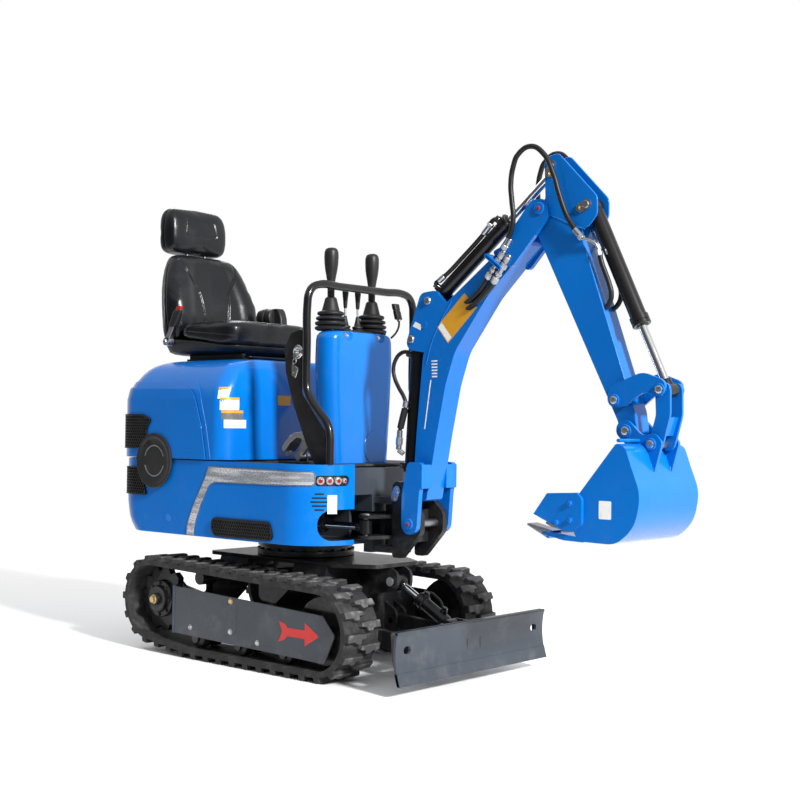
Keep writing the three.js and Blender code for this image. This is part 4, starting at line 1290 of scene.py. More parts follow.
@dataclass
class Blade:
    """The dozer blade: a curved board with a flange, a bolted edge, slots, arms and its ram."""

    half: float = 410
    sag: float = 14
    top: Flat = (846, 216)
    foot: Flat = (856, 40)
    slots: tuple[float, ...] = (-352, 352)

    def _face(self, share: float, back: float = 0) -> Flat:
        """A point of the board's front profile, moved backwards."""
        x = self.top[0] + (self.foot[0] - self.top[0]) * share - self.sag * 4 * share * (1 - share)
        return x - back, self.top[1] + (self.foot[1] - self.top[1]) * share

    def build(self) -> None:
        """Model and dress the board, its arms and the ram."""
        steps = 14
        front = [self._face(i / steps) for i in range(steps + 1)]
        rear = [self._face(i / steps, 10) for i in range(steps, -1, -1)]
        board = Bench.slab("blade_board", front + rear, -self.half, self.half)
        tools = []
        for y in self.slots:
            tools.append(Bench.slab("slot", oval(y, 153, 36, 26), 780, 880, "X"))
        Bench.soften(Bench.carve(board, *tools), 1.5, 2, 50)
        Bench.dress(board, Finish.GREY, "blade", smooth=25)
        lip = [(818, 206), (846.4, 206), (847, 211), (844, 216), (820, 216), (816, 211)]
        flange = Bench.soften(Bench.slab("blade_flange", lip, -self.half, self.half), 1.5, 2, 40)
        Bench.dress(flange, Finish.GREY, "blade")
        band = [self._face(0.76), self._face(0.88), self._face(1.0)]
        edge = [(x + 2.4, z) for x, z in band] + [(x - 12, z) for x, z in reversed(band)]
        cutting = Bench.soften(Bench.slab("cutting_edge", edge, -self.half, self.half), 1.2)
        Bench.dress(cutting, Finish.GREY, "blade")
        beads = [Bench.tube("w", [(819, y, 150), (822, y, 110), (826, y, 78)], 3.5, 2, 3) for y in (-161, -129, 129, 161)]
        Bench.dress(Bench.join("blade_welds", *beads), Finish.GREY, "blade")
        arm = rounded([(319, 124, 25), (838, 70), (828, 160), (776, 152, 20), (319, 176, 25)])
        cheek = rounded([(704, 162, 22), (838, 110), (836, 204), (704, 210, 22)])
        parts = [Bench.slab("a", arm, s * 145 - 16, s * 145 + 16) for s in (-1, 1)]
        parts += [Bench.slab("c", cheek, *sorted((s * 31, s * 41))) for s in (-1, 1)]
        parts = [Bench.soften(part, 2.5) for part in parts]
        parts.append(Bench.rod("t", (620, -145, 124), (620, 145, 124), 22))
        ribs = [Bench.soften(Bench.slab("rib", [(828, 60), (836, 204), (800, 206), (806, 120)], y - 4, y + 4), 1.5)
                for y in (-390, -270, 270, 390)]
        Bench.dress(Bench.join("blade_arms", *parts, *ribs), Finish.BLACK, "blade", "blade")
        hinge = [Bench.pin("p", 345, 150, (s * 145 - 31, s * 145 + 31), 11) for s in (-1, 1)]
        hinge.append(Bench.pin("p", 728, 186, (-48, 48), 12))
        Bench.dress(Bench.join("blade_pins", *hinge), Finish.ZINC, "blade", smooth=30)
        head = Bench.join("ram_pin", Bench.pin("p", 485, 322, (-50, 50), 12), Bench.pin("q", 485, 322, (-52, -44), 17))
        Bench.dress(head, Finish.ZINC, "undercarriage", smooth=30)
        Ram("blade_ram", (728, 0, 186), (485, 0, 322), 165, "blade_ram_cylinder", "blade_ram_rod", 24, 12, 66,
            ports=(0.45, 0, 0.9)).build()
        pipe = Bench.tube("blade_ram_pipe", [(690, 4, 232), (684, 10, 251), (650, 18, 276), (620, 14, 289), (606, 4, 281)], 5)
        Bench.dress(pipe, Finish.HOSE, "blade_ram_cylinder", smooth=60)


# ---------------------------------------------------------------- house


@dataclass
class Skin:
    """A shell's outer surface: the house's plan at several heights, with a place for every arc length."""

    levels: tuple[Flat, ...]
    front: float
    half: float = 385
    tail: float = 763
    corner: float = 160
    rear: float = 120
    draw: float = 0.0
    front_share: float = 0.0

    def ring(self, sink: float, inset: float = 0) -> list[Flat]:
        """The plan, from the middle of the front along the right side to the tail and back on the left.

        Args:
            sink: how far this level has drawn in.
            inset: how far the outline is moved inwards besides.

        Returns:
            Points in the XY plane.
        """
        half, tail = self.half - inset - sink * self.draw, self.tail - inset - sink
        front, corner = self.front - inset - sink * self.front_share, max(4.0, self.corner - inset)
        cy = half - self.rear
        cx = -math.sqrt((tail - self.rear) ** 2 - cy**2)
        turn = math.atan2(cy, cx)
        side = [(front, 0.0), (front, (half - corner) / 2)]
        side += self._arc(front - corner, half - corner, corner, 0, math.pi / 2, 12)
        side += self._arc(cx, cy, self.rear, math.pi / 2, turn, 10)
        side += self._arc(0, 0, tail, turn, math.pi, 16)[1:]
        right = [(x, -y) for x, y in side]
        return right + [(x, -y) for x, y in reversed(right[1:-1])]

    @staticmethod
    def _arc(cx: float, cy: float, radius: float, start: float, end: float, steps: int) -> list[Flat]:
        """Points of an arc."""
        turns = [start + (end - start) * i / steps for i in range(steps + 1)]
        return [(cx + radius * math.cos(t), cy + radius * math.sin(t)) for t in turns]

    def shell(self, name: str, inset: float = 0, low: float = 0, high: float = 0) -> bpy.types.Object:
        """The body through all levels.

        Args:
            name: the piece's name.
            inset: how far it lies inside the surface.
            low: how far its lowest level is moved down.
            high: how far its highest level is moved up.

        Returns:
            The piece.
        """
        heights = [z for z, _ in self.levels]
        heights[0], heights[-1] = heights[0] - low, heights[-1] + high
        rings = [[at(x, y, z) for x, y in self.ring(sink, inset)] for z, (_, sink) in zip(heights, self.levels)]
        return Bench.loft(name, rings)

    def spot(self, along: float, height: float, proud: float) -> Vector:
        """A place on the surface.

        Args:
            along: distance along the right side's plan, from where the front corner ends; forward is negative.
            height: the place's height.
            proud: how far it stands out.

        Returns:
            The place in the frame, in metres.
        """
        pairs = list(zip(self.levels, self.levels[1:]))
        (z0, sink0), (z1, sink1) = next((p for p in pairs if height <= p[1][0]), pairs[-1])
        share = max(0.0, min(1.0, (height - z0) / (z1 - z0)))
        ring = self.ring(sink0 + (sink1 - sink0) * share)
        base = self.ring(0)
        left, step, index, last = along, 1 if along > 0 else -1, 14, 40
        while True:
            a, b = Vector(base[index]), Vector(base[index + step])
            if abs(left) <= (b - a).length or index + step in (0, last + 1):
                break
            left -= step * (b - a).length
            index += step
        part = abs(left) / (b - a).length
        a, b = Vector(ring[index]), Vector(ring[index + step])
        place = a.lerp(b, part)
        ahead = (b - a).normalized() * step
        return at(place.x - ahead.y * proud, place.y + ahead.x * proud, height)

    def wrap(self, piece: bpy.types.Object) -> bpy.types.Object:
        """Lay a flat-built piece on the surface.

        Args:
            piece: its X is the arc length, its Y the distance outwards and its Z the height, from the slewing axis.

        Returns:
            The piece.
        """
        for vert in piece.data.vertices:
            flat = (vert.co - at(0, 0, 0)) / MM
            vert.co = self.spot(flat.x, flat.z, flat.y)
        Bench.weld(piece)
        return piece


@dataclass
class House:
    """The slewing house: lower shell, hood, opening rear cover, deck and what is fixed on them."""

    lower: Skin = field(default_factory=lambda: Skin(
        ((461, 52), (463, 47), (469, 42), (492, 24), (520, 11), (580, 0), (742, 0), (746, 1.5), (747.5, 4)), 430))
    hood: Skin = field(default_factory=lambda: Skin(
        ((752, 0), (900, 0), (980, 0), (1020, 8), (1052, 24), (1078, 42), (1100, 62), (1115, 82), (1126, 106),
         (1134, 134), (1138, 168)), -60, corner=60, draw=1.0, front_share=0.3))

    @staticmethod
    def _arch(gap: float) -> list[Flat]:
        """The side view of what the rear cover spans."""
        return rounded([(-880, 700), (-112 + gap, 700), (-150 + gap, 880, 200), (-205 + gap, 1052 + gap, 90),
                        (-880, 1052 + gap)], 12)

    def _lower_shell(self) -> None:
        """The blue shell round the floor, open in front and for the swing ram."""
        shell = self.lower.shell("lower_skirt")
        inside = self.lower.shell("inside", 6, 20, 20)
        gap = Bench.block("gap", (330, 470), (-183, 183), (430, 780))
        port = Bench.slab("port", rounded([(-330, 478, 46), (-110, 478, 12), (-110, 588, 12), (-330, 588, 46)]),
                          350, 480, "X")
        lamps = self.lower.wrap(Bench.sliced(Bench.slab("lamps", oval(-194, 690, 142, 38), -30, 20), -270, -118, 10))
        Bench.carve(shell, inside, gap, port, lamps)
        Bench.soften(shell, 1.6, 2, 60)
        Bench.dress(shell, Finish.BLUE, "house", "lower_shell", smooth=32)

    def _hood(self) -> None:
        """The blue hood under the seat, open behind for the rear cover."""
        hood = self.hood.shell("hood")
        inside = self.hood.shell("inside", 6, 20, -6)
        mouth = Bench.slab("mouth", self._arch(-40), -500, 500)
        Bench.carve(hood, inside, mouth)
        Bench.dress(Bench.soften(hood, 1.2, 2, 60), Finish.BLUE, "house", "engine_hood", smooth=32)

    def _rear_cover(self) -> None:
        """The proud rear cover with its lip."""
        skin = Skin(((752, 0), (900, 0), (980, 0), (1020, 8), (1052, 24), (1086, 44), (1120, 62)), -60, corner=60,
                    draw=1.0, front_share=0.3)
        parts = []
        for name, proud, near, far in (("cover", 8, -24, None), ("lip", 3.6, 0, -24)):
            part = skin.shell(name, -proud)
            inside = skin.shell("inside", 3 - proud, 20, 20)
            Bench.carve(part, inside)
            Bench.carve(part, Bench.slab("keep", self._arch(near), -500, 500), way="INTERSECT")
            if far is not None:
                Bench.carve(part, Bench.slab("cut", self._arch(far - 0.5), -500, 500))
            parts.append(Bench.soften(part, 1.4, 2, 60))
        Bench.dress(Bench.join("rear_hood", *parts), Finish.BLUE, "rear_cover", "rear_cover", smooth=32)

    def _mesh_panel(self, name: str, outline: list[Flat], skin: Skin, proud: float, body: str, turn: float = 0) -> None:
        """A black grille of hexagons in a rounded frame, on both sides of the machine.

        Args:
            name: the piece's name.
            outline: its shape, as arc length and height.
            skin: what it lies on.
            proud: how far out its back is.
            body: what it rides on.
            turn: not used.
        """
        low_u, high_u = min(u for u, _ in outline), max(u for u, _ in outline)
        low_v, high_v = min(v for _, v in outline), max(v for _, v in outline)
        pitch, cells = 13.0, []
        rows = int((high_v - low_v) / (pitch * 0.866)) + 1
        for row in range(rows + 1):
            for column in range(int((high_u - low_u) / pitch) + 2):
                u = low_u + (column + 0.5 * (row % 2)) * pitch
                v = low_v + row * pitch * 0.866
                if all(self._inside((u + a, v + b), outline) for a, b in ((-6, 0), (6, 0), (0, -6), (0, 6))):
                    cells.append((u, v))
        bars = Bench.sliced(Bench.slab(name, outline, proud, proud + 6), low_u, high_u, 12)
        tool = [Bench.slab("cell", [(u + 5.6 * math.sin(math.radians(60 * i)), v + 5.6 * math.cos(math.radians(60 * i)))
                                    for i in range(6)], proud + 1.5, proud + 9) for u, v in cells]
        Bench.carve(bars, Bench.join("cells", *tool))
        frame_outer = Bench.sliced(Bench.slab("rim", outline, proud, proud + 7.5), low_u, high_u, 12)
        shrunk = self._shrunk(outline, 5)
        Bench.carve(frame_outer, Bench.sliced(Bench.slab("hole", shrunk, proud - 5, proud + 12), low_u, high_u, 12))
        panel = skin.wrap(Bench.join(name, bars, frame_outer))
        other = Bench.across(panel, name + "_left")
        panel.name = panel.data.name = name + "_right"
        Bench.dress(panel, Finish.GRILLE, body, smooth=25)
        Bench.dress(other, Finish.GRILLE, body, smooth=25)

    @staticmethod
    def _inside(spot: Flat, outline: list[Flat]) -> bool:
        """Whether a spot lies inside an outline."""
        hit = False
        for (ax, ay), (bx, by) in zip(outline, outline[1:] + outline[:1]):
            if (ay > spot[1]) != (by > spot[1]) and spot[0] < (bx - ax) * (spot[1] - ay) / (by - ay) + ax:
                hit = not hit
        return hit

    @staticmethod
    def _shrunk(outline: list[Flat], by: float) -> list[Flat]:
        """An outline moved inwards, for convex shapes."""
        centre = Vector((sum(u for u, _ in outline), sum(v for _, v in outline))) / len(outline)
        return [tuple(centre + (Vector(p) - centre) * (1 - by / max(1.0, (Vector(p) - centre).length))) for p in outline]

    def _roundels(self) -> None:
        """The blank black discs with their silver bands."""
        skin = Skin(((600, 0), (760, 0), (900, 0)), 430)
        middle = 270 + 448
        profile = [(8.4, 107), (14, 108), (17.5, 105), (18.5, 100), (17, 92), (13, 84), (11.5, 60), (11, 20)]
        disc = Bench.turned("disc", profile, (middle, 0, 740), (middle, 10, 740), 64)
        disc = skin.wrap(Bench.sliced(disc, middle - 108, middle + 108, 14))
        band = Bench.turned("band", [(11, 62), (13.6, 62), (13.6, 57), (11, 57)], (middle, 0, 740), (middle, 10, 740), 64)
        Bench.carve(band, Bench.rod("core", (middle, 8, 740), (middle, 16, 740), 57.1, 64),
                    Bench.block("slit", (middle - 70, middle + 70), (5, 20), (722, 758)))
        band = skin.wrap(band)
        for piece, name, finish, node in ((disc, "disc", Finish.PLASTIC, "roundel"), (band, "disc_band", Finish.SILVER, "")):
            other = Bench.across(piece, name + "_left")
            piece.name = piece.data.name = name + "_right"
            Bench.dress(piece, finish, "rear_cover", *([node + "_right"] if node else []), smooth=30)
            Bench.dress(other, finish, "rear_cover", *([node + "_left"] if node else []), smooth=30)

    def _trim(self) -> None:
        """The bright strip with its slanted leg, edged in silver."""
        outline = rounded([(560, 463), (512, 463), (402, 652, 26), (372, 668, 16), (-128, 672, 16), (-128, 724, 16),
                           (404, 728, 6), (420, 690, 20)])
        for name, proud, thick, by, finish in (("trim_edge", 0.5, 2.4, 0, Finish.SILVER), ("trim_band", 1.0, 2.6, 3, Finish.FOIL)):
            shape = outline if not by else rounded([(553, 467), (515, 467), (405, 655, 26), (373, 672, 16),
                                                    (-124, 676, 13), (-124, 720, 13), (401, 724, 5), (416, 690, 20)])
            strip = Bench.slab(name, shape, proud, proud + thick)
            strip = self.lower.wrap(Bench.sliced(strip, -126, 556, 44))
            other = Bench.across(strip, name + "_left")
            strip.name = strip.data.name = name + "_right"
            nodes = {"trim_edge": ("trim_strip_right", "trim_strip_left")}.get(name, (None, None))
            Bench.dress(strip, finish, "house", *[n for n in nodes[:1] if n], smooth=25)
            Bench.dress(other, finish, "house", *[n for n in nodes[1:] if n], smooth=25)

    def _lamps(self) -> None:
        """The lamp group in its slot on the right front corner."""
        back = Bench.slab("lamp_housing", oval(-194, 690, 150, 46), -12, -7)
        back = self.lower.wrap(Bench.sliced(back, -270, -118, 10))
        Bench.dress(back, Finish.PLASTIC, "house")
        clear, red = [], []
        for along, size in ((-146, 15), (-180, 15), (-214, 15), (-244, 10)):
            ring = [(-8, size), (-2, size), (1, size - 2), (2, size - 5)]
            clear.append(Bench.turned("l", [(h + 8, r) for h, r in ring], (along, -8, 690), (along, 10, 690), 28))
            red.append(Bench.turned("r", [(0, size * 0.5), (3.4, size * 0.5), (4.4, size * 0.36)], (along, 0, 690),
                                    (along, 10, 690), 24))
        Bench.dress(self.lower.wrap(Bench.join("lamp_lenses", *clear)), Finish.CLEAR_LENS, "house", smooth=40)
        Bench.dress(self.lower.wrap(Bench.join("lamp_centres", *red)), Finish.RED_LENS, "house", smooth=40)

    def _small_things(self) -> None:
        """Louvre slits as thin dark sheets of painted shadow, the jacking hole, and the blank labels."""
        # Painted shadow: each louvre slit is a thin near-black sheet on the skin, not an opening.
        slit_shadows = []
        for i, long in enumerate((34, 52, 64, 52, 34)):
            slit = Bench.slab("s", oval(-142, 588 + i * 14, long, 5.5, 3), 0.2, 0.9)
            slit_shadows.append(Bench.sliced(slit, -172, -112, 4))
        Bench.dress(self.lower.wrap(Bench.join("louvres", *slit_shadows)), Finish.VOID, "house")
        hole = Bench.turned("port_hole", [(0.2, 15), (1.0, 14.5)], (270 + 382, 0, 521), (270 + 382, 10, 521), 32)
        Bench.dress(self.lower.wrap(hole), Finish.BLUE_CLIP, "house")
        plain = (("tag", self.lower, -208, -172, 574, 640, Finish.WHITE_LABEL),
                 ("stack_1", self.hood, -66, -24, 982, 1024, Finish.WHITE_LABEL),
                 ("stack_2", self.hood, -114, -34, 940, 986, Finish.WHITE_LABEL),
                 ("stack_3", self.hood, -134, -40, 904, 938, Finish.GREY_LABEL),
                 ("stack_4", self.hood, -150, -50, 872, 903, Finish.WHITE_LABEL),
                 ("stack_band_1", self.hood, -66, -24, 1018, 1026, Finish.AMBER_LABEL),
                 ("stack_band_2", self.hood, -114, -34, 978, 986.5, Finish.AMBER_LABEL),
                 ("stack_band_3", self.hood, -134, -40, 928, 938.5, Finish.AMBER_LABEL))
        for name, skin, low, high, bottom, top, finish in plain:
            proud = 1.2 if "band" in name else 0.5
            label = Bench.slab("label_" + name, [(low, bottom), (high, bottom), (high, top), (low, top)], proud, proud + 0.5)
            Bench.dress(skin.wrap(Bench.sliced(label, low, high, 8)), finish, "house")
        notice = Bench.block("label_hood_front", (-59.8, -59.2), (-106, -38), (962, 1000))
        Bench.dress(notice, Finish.AMBER_LABEL, "house")

    def _deck(self) -> None:
        """The ribbed floor mat, the frame under it and the heavy parts inside."""
        plan = Skin(self.lower.levels, 368).ring(0, 8)
        mat = Bench.slab("floor_mat", plan, 737, 746, "Z")
        Bench.carve(mat, Bench.block("rear", (-900, -150), (-500, 500), (700, 800)))
        Bench.soften(mat, 1.5, 2, 50)
        ribs = [Bench.soften(Bench.block("rib", (x, x + 5), (-190, 190), (745, 747.5)), 0.8, 1) for x in range(-40, 180, 18)]
        Bench.dress(Bench.join("floor_mat", mat, *ribs), Finish.MAT, "house", "deck")
        Bench.dress(Bench.refined("house_frame", "floor_frame", 2), Finish.GREY, "house", "house_frame")
        Bench.dress(Bench.refined("counterweight", "ballast", 4), Finish.BLACK, "house", "counterweight")
        block = Bench.refined("engine", "engine_block", 8, 3)
        ribs = [Bench.soften(Bench.block("fin", (-500, -490), (y, y + 12), (520, 960)), 2) for y in range(-160, 160, 32)]
        cap = Bench.soften(Bench.block("cap", (-440, -220), (-120, 120), (1008, 1034)), 10, 3)
        Bench.dress(Bench.join("engine_block", block, cap, *ribs), Finish.BLACK, "house", "engine")

    def build(self) -> None:
        """Model and dress the whole house."""
        self._lower_shell()
        self._hood()
        self._rear_cover()
        outer = Skin(((600, 0), (785, 0), (925, 0)), 430, half=393, tail=771)
        upper = rounded([(742, 800, 6), (826, 786, 4), (1000, 786, 8), (1000, 922, 8), (800, 922, 12), (736, 902, 10),
                         (772, 860, 30)])
        self._mesh_panel("grille_upper", upper, outer, 0.5, "rear_cover")
        lower = rounded([(772, 604, 8), (1000, 604, 8), (1000, 712, 8), (792, 712, 8), (800, 680, 20)])
        self._mesh_panel("grille_lower", lower, self.lower, 0.5, "house")
        side = rounded([(40, 470, 22), (396, 468, 24), (380, 538, 24), (62, 538, 24)])
        self._mesh_panel("grille_side", side, self.lower, 0.5, "house")
        self._roundels()
        self._trim()
        self._lamps()
        self._small_things()
        self._deck()


# ---------------------------------------------------------------- operator's station


@dataclass
class Station:
    """The operator's station: console, levers, rail, key panel, pedal and a loose connector."""

    back: float = 190
    front: float = 300
    corner: float = 50
    levels: tuple[Point, ...] = (
        (746.4, 160, 0), (850, 167, 0), (950, 174, 0), (1130, 182, 0), (1205, 179, 0), (1220, 177, 1.5), (1230, 172, 5),
        (1236, 165, 10), (1238.2, 156, 18))
    rail_half: float = 290
    rail_radius: float = 15

    def _console(self) -> None:
        """The blue console with two screws in dimples, and a shallow round boss in front."""
        rings = []
        for z, half, inset in self.levels:
            x0, x1, r = self.back + inset, self.front - inset, max(12.0, self.corner - inset)
            plan = rounded([(x0, -half + inset, r), (x1, -half + inset, r), (x1, half - inset, r), (x0, half - inset, r)], 10)
            rings.append([at(x, y, z) for x, y in plan])
        body = Bench.loft("console_shell", rings)
        dimples = [Bench.turned("d", [(-14, 2), (-12, 12), (-6, 20), (2, 25), (14, 28), (30, 30)], (296, y, 1224),
                                (306, y, 1228), 36) for y in (-88, 88)]
        Bench.carve(body, *dimples)
        Bench.soften(body, 2.5, 2, 40)
        Bench.dress(body, Finish.BLUE, "house", "console", smooth=30)
        screws = [Bench.bolt("s", (284, y, 1222), (1, 0, 0.15), 7, 6) for y in (-88, 88)]
        Bench.dress(Bench.join("console_screws", *screws), Finish.ZINC, "house", smooth=30)
        boss = Bench.turned("console_boss", [(-3, 64), (1.4, 64), (2.4, 62.5), (2.4, 40)], (299.6, 66, 805), (310, 66, 805), 64)
        Bench.dress(boss, Finish.BLUE, "house", smooth=30)

    def _levers(self) -> None:
        """Four levers: two tall ones in wide bellows, two small ones on bright rods."""
        plate = Bench.soften(Bench.block("lever_plate", (194, 272), (-150, 150), (1238.4, 1244.4)), 2)
        bellows = [(0, 54), (2, 58), (9, 60), (13, 56), (14, 46), (16, 46), (18, 55), (23, 59), (29, 58), (32, 51), (33, 44),
                   (35, 44), (37, 52), (42, 56), (48, 54), (51, 47), (52, 41), (54, 41), (56, 48), (61, 51), (67, 49),
                   (70, 42), (71, 35), (75, 33), (98, 27), (118, 22), (124, 16)]
        knob = [(96, 13), (150, 13.5), (180, 15), (205, 19), (225, 23), (250, 26), (274, 27), (290, 26.5), (299, 24), (305, 20),
                (308.4, 13), (309.4, 5)]
        cuff = [(0, 21), (3, 24), (8, 24), (11, 18), (13, 18), (16, 21), (21, 20), (24, 14), (40, 10), (58, 6.5), (60, 4)]
        grip = [(88, 5), (92, 7), (118, 9), (146, 12), (154, 11.5), (159, 9), (161, 4)]
        soft, hard, bright = [], [], []
        for y in (-112, 112):
            foot, up = (228, y, 1242.4), (228, y, 1300)
            soft.append(Bench.turned("b", bellows, foot, up, 40))
            hard.append(Bench.turned("k", knob, foot, up, 36))
            bright.append(Bench.rod("dot", (240, y - 9, 1458), (242, y - 10.5, 1458), 3, 12, 0.4))
        for y in (-34, 34):
            foot, up = (228, y, 1242.4), (228, y, 1300)
            soft.append(Bench.turned("c", cuff, foot, up, 28))
            hard.append(Bench.turned("g", grip, foot, up, 28))
            bright.append(Bench.rod("r", (228, y, 1298), (228, y, 1334), 4, 20))
        Bench.dress(Bench.join("lever_boots", plate, *soft), Finish.BOOT, "house", smooth=50)
        Bench.dress(Bench.join("lever_grips", *hard), Finish.PLASTIC, "house", "control_levers", smooth=50)
        Bench.dress(Bench.join("lever_rods", *bright), Finish.ZINC, "house", smooth=40)

    def _rail(self) -> None:
        """The black tube rail round the station."""
        side = [(408, 290, 748.6), (408, 290, 800), (407, 290, 850), (395, 290, 890), (350, 290, 937), (302, 290, 990),
                (288, 290, 1022), (285, 290, 1060), (285, 290, 1180), (285, 290, 1325), (286, 284, 1362),
                (287, 265, 1388), (288, 236, 1399.6)]
        line = [(x, -y, z) for x, y, z in side] + [(288, -120, 1400), (288, 0, 1400), (288, 120, 1400)] + side[::-1]
        rail = Bench.tube("rail", line, self.rail_radius, 8, 8)
        Bench.dress(rail, Finish.GLOSS_BLACK, "house", "handrail", smooth=50)

    def _key_panel(self) -> None:
        """The dark fin beside the rail, with the key switch, keys and a bright bracket."""
        outline = rounded([(335, 746.4), (388, 746.4), (388, 862, 30), (262, 1000, 30), (262, 1236, 10), (205, 1222, 30),
                           (172, 1170, 30), (180, 1080, 30), (222, 960, 60), (300, 800, 40)], 10)
        fin = Bench.soften(Bench.slab("key_fin", outline, -294, -286), 1.6, 2)
        Bench.dress(fin, Finish.BLACK, "house", "key_panel")
        x, z = 243, 1152
        ring = Bench.turned("ring", [(0, 17), (4, 17.5), (7, 16), (8, 13), (5, 11), (5, 6)], (x, -293.8, z), (x, -310, z), 40)
        bead = Bench.turned("bead", [(0, 25), (1.6, 25), (3, 23.5), (3, 20)], (x, -293.8, z), (x, -310, z), 40)
        plug = Bench.turned("plug", [(3, 7), (13, 7), (15, 5)], (x, -294, z), (x, -310, z), 24)
        key = Bench.soften(Bench.slab("key", oval(x, z - 16, 15, 24), -311, -308), 0.6, 1)
        blade = Bench.soften(Bench.block("blade", (x - 3, x + 3), (-310.5, -308.5), (z - 8, z + 6)), 0.4, 1)
        loop = Bench.tube("loop", [(x, -309.5, z - 24), (x - 9, -310, z - 33), (x - 2, -311, z - 44), (x + 8, -310, z - 35),
                                   (x + 1, -309.5, z - 24)], 0.9, 2, 4)
        spare = Bench.soften(Bench.slab("spare", oval(x - 6, z - 60, 13, 34), -312.5, -310), 0.6, 1)
        tab = Bench.soften(Bench.slab("tab", rounded([(x - 32, z - 84, 8), (x - 8, z - 96, 6), (x + 6, z - 60, 6),
                                                      (x - 16, z - 48, 8)]), -297, -294.2), 0.8, 1)
        Bench.dress(Bench.join("key_switch", ring, bead, plug, key, blade, loop, spare, tab), Finish.CHROME, "house")

    def _pedal(self) -> None:
        """The cast foot lever with its ribbed tread, cross tube and foot plate."""
        tread = rounded([(150, 800, 10), (172, 826, 14), (214, 858, 16), (268, 864, 14), (290, 846, 10), (284, 830, 8),
                         (232, 842, 14), (196, 820, 18), (166, 786, 6)])
        parts = [Bench.soften(Bench.slab("tread", tread, -284, -226), 3, 3)]
        parts += [Bench.soften(Bench.slab("rib", rounded([(188 + i * 22, 836 + i * 7.5), (200 + i * 22, 843 + i * 6),
                                                          (199 + i * 22, 852 + i * 5), (187 + i * 22, 845 + i * 6.5)][:4]),
                                          -282, -228), 1) for i in range(3)]
        web = rounded([(212, 772, 12), (236, 770, 12), (262, 800, 16), (280, 836, 6), (236, 846, 10), (224, 806, 20)])
        parts.append(Bench.soften(Bench.slab("web", web, -262, -250), 3, 2))
        parts.append(Bench.pin("boss", 224, 774, (-270, -242), 17, 32, 2))
        parts.append(Bench.soften(Bench.block("stub", (150, 172), (-262, -250), (770, 806)), 3))
        Bench.dress(Bench.join("pedal_casting", *parts), Finish.ZINC, "house", "foot_pedal", smooth=45)
        Bench.dress(Bench.pin("pedal_tube", 224, 774, (-242, -150), 10, 28, 2), Finish.STEEL, "house", smooth=40)
        foot = Bench.soften(Bench.block("foot", (140, 262), (-288, -150), (746.6, 754)), 2)
        ears = [Bench.soften(Bench.slab("ear", rounded([(204, 752), (246, 752), (238, 786, 12), (212, 786, 12)]), y, y + 7),
                             1.5) for y in (-240, -160)]
        Bench.dress(Bench.join("pedal_bracket", foot, *ears), Finish.BLACK, "house")

    def _connector(self) -> None:
        """A capped connector on a stiff conduit at the console's left edge."""
        stem = Bench.tube("conduit", [(282, 166, 1226), (296, 178, 1246), (306, 184, 1272), (306, 185, 1298)], 4, 3, 6)
        Bench.dress(stem, Finish.HOSE, "house", smooth=60)
        collar = Bench.rod("collar", (307, 185, 1292), (303, 185, 1304), 8, 20)
        Bench.dress(Bench.join("conduit_collar", collar), Finish.ZINC, "house")
        shell = Bench.loft("shell", [[at(x + lean, 185 + y, z) for x, y in oval(300, 0, 22 - draw, 34 - draw)]
                                     for z, lean, draw in ((1298, 4, 4), (1300, 3, 0), (1330, -6, 0), (1332, -7, 3),
                                                           (1336, -8, 3), (1338, -9, 0), (1358, -14, 0), (1360, -15, 4))])
        Bench.dress(Bench.join("connector_shell", Bench.soften(shell, 1, 2)), Finish.PLASTIC, "house")

    def build(self) -> None:
        """Model and dress the station."""
        self._console()
        self._levers()
        self._rail()
        self._key_panel()
        self._pedal()
        self._connector()


# ---------------------------------------------------------------- seat


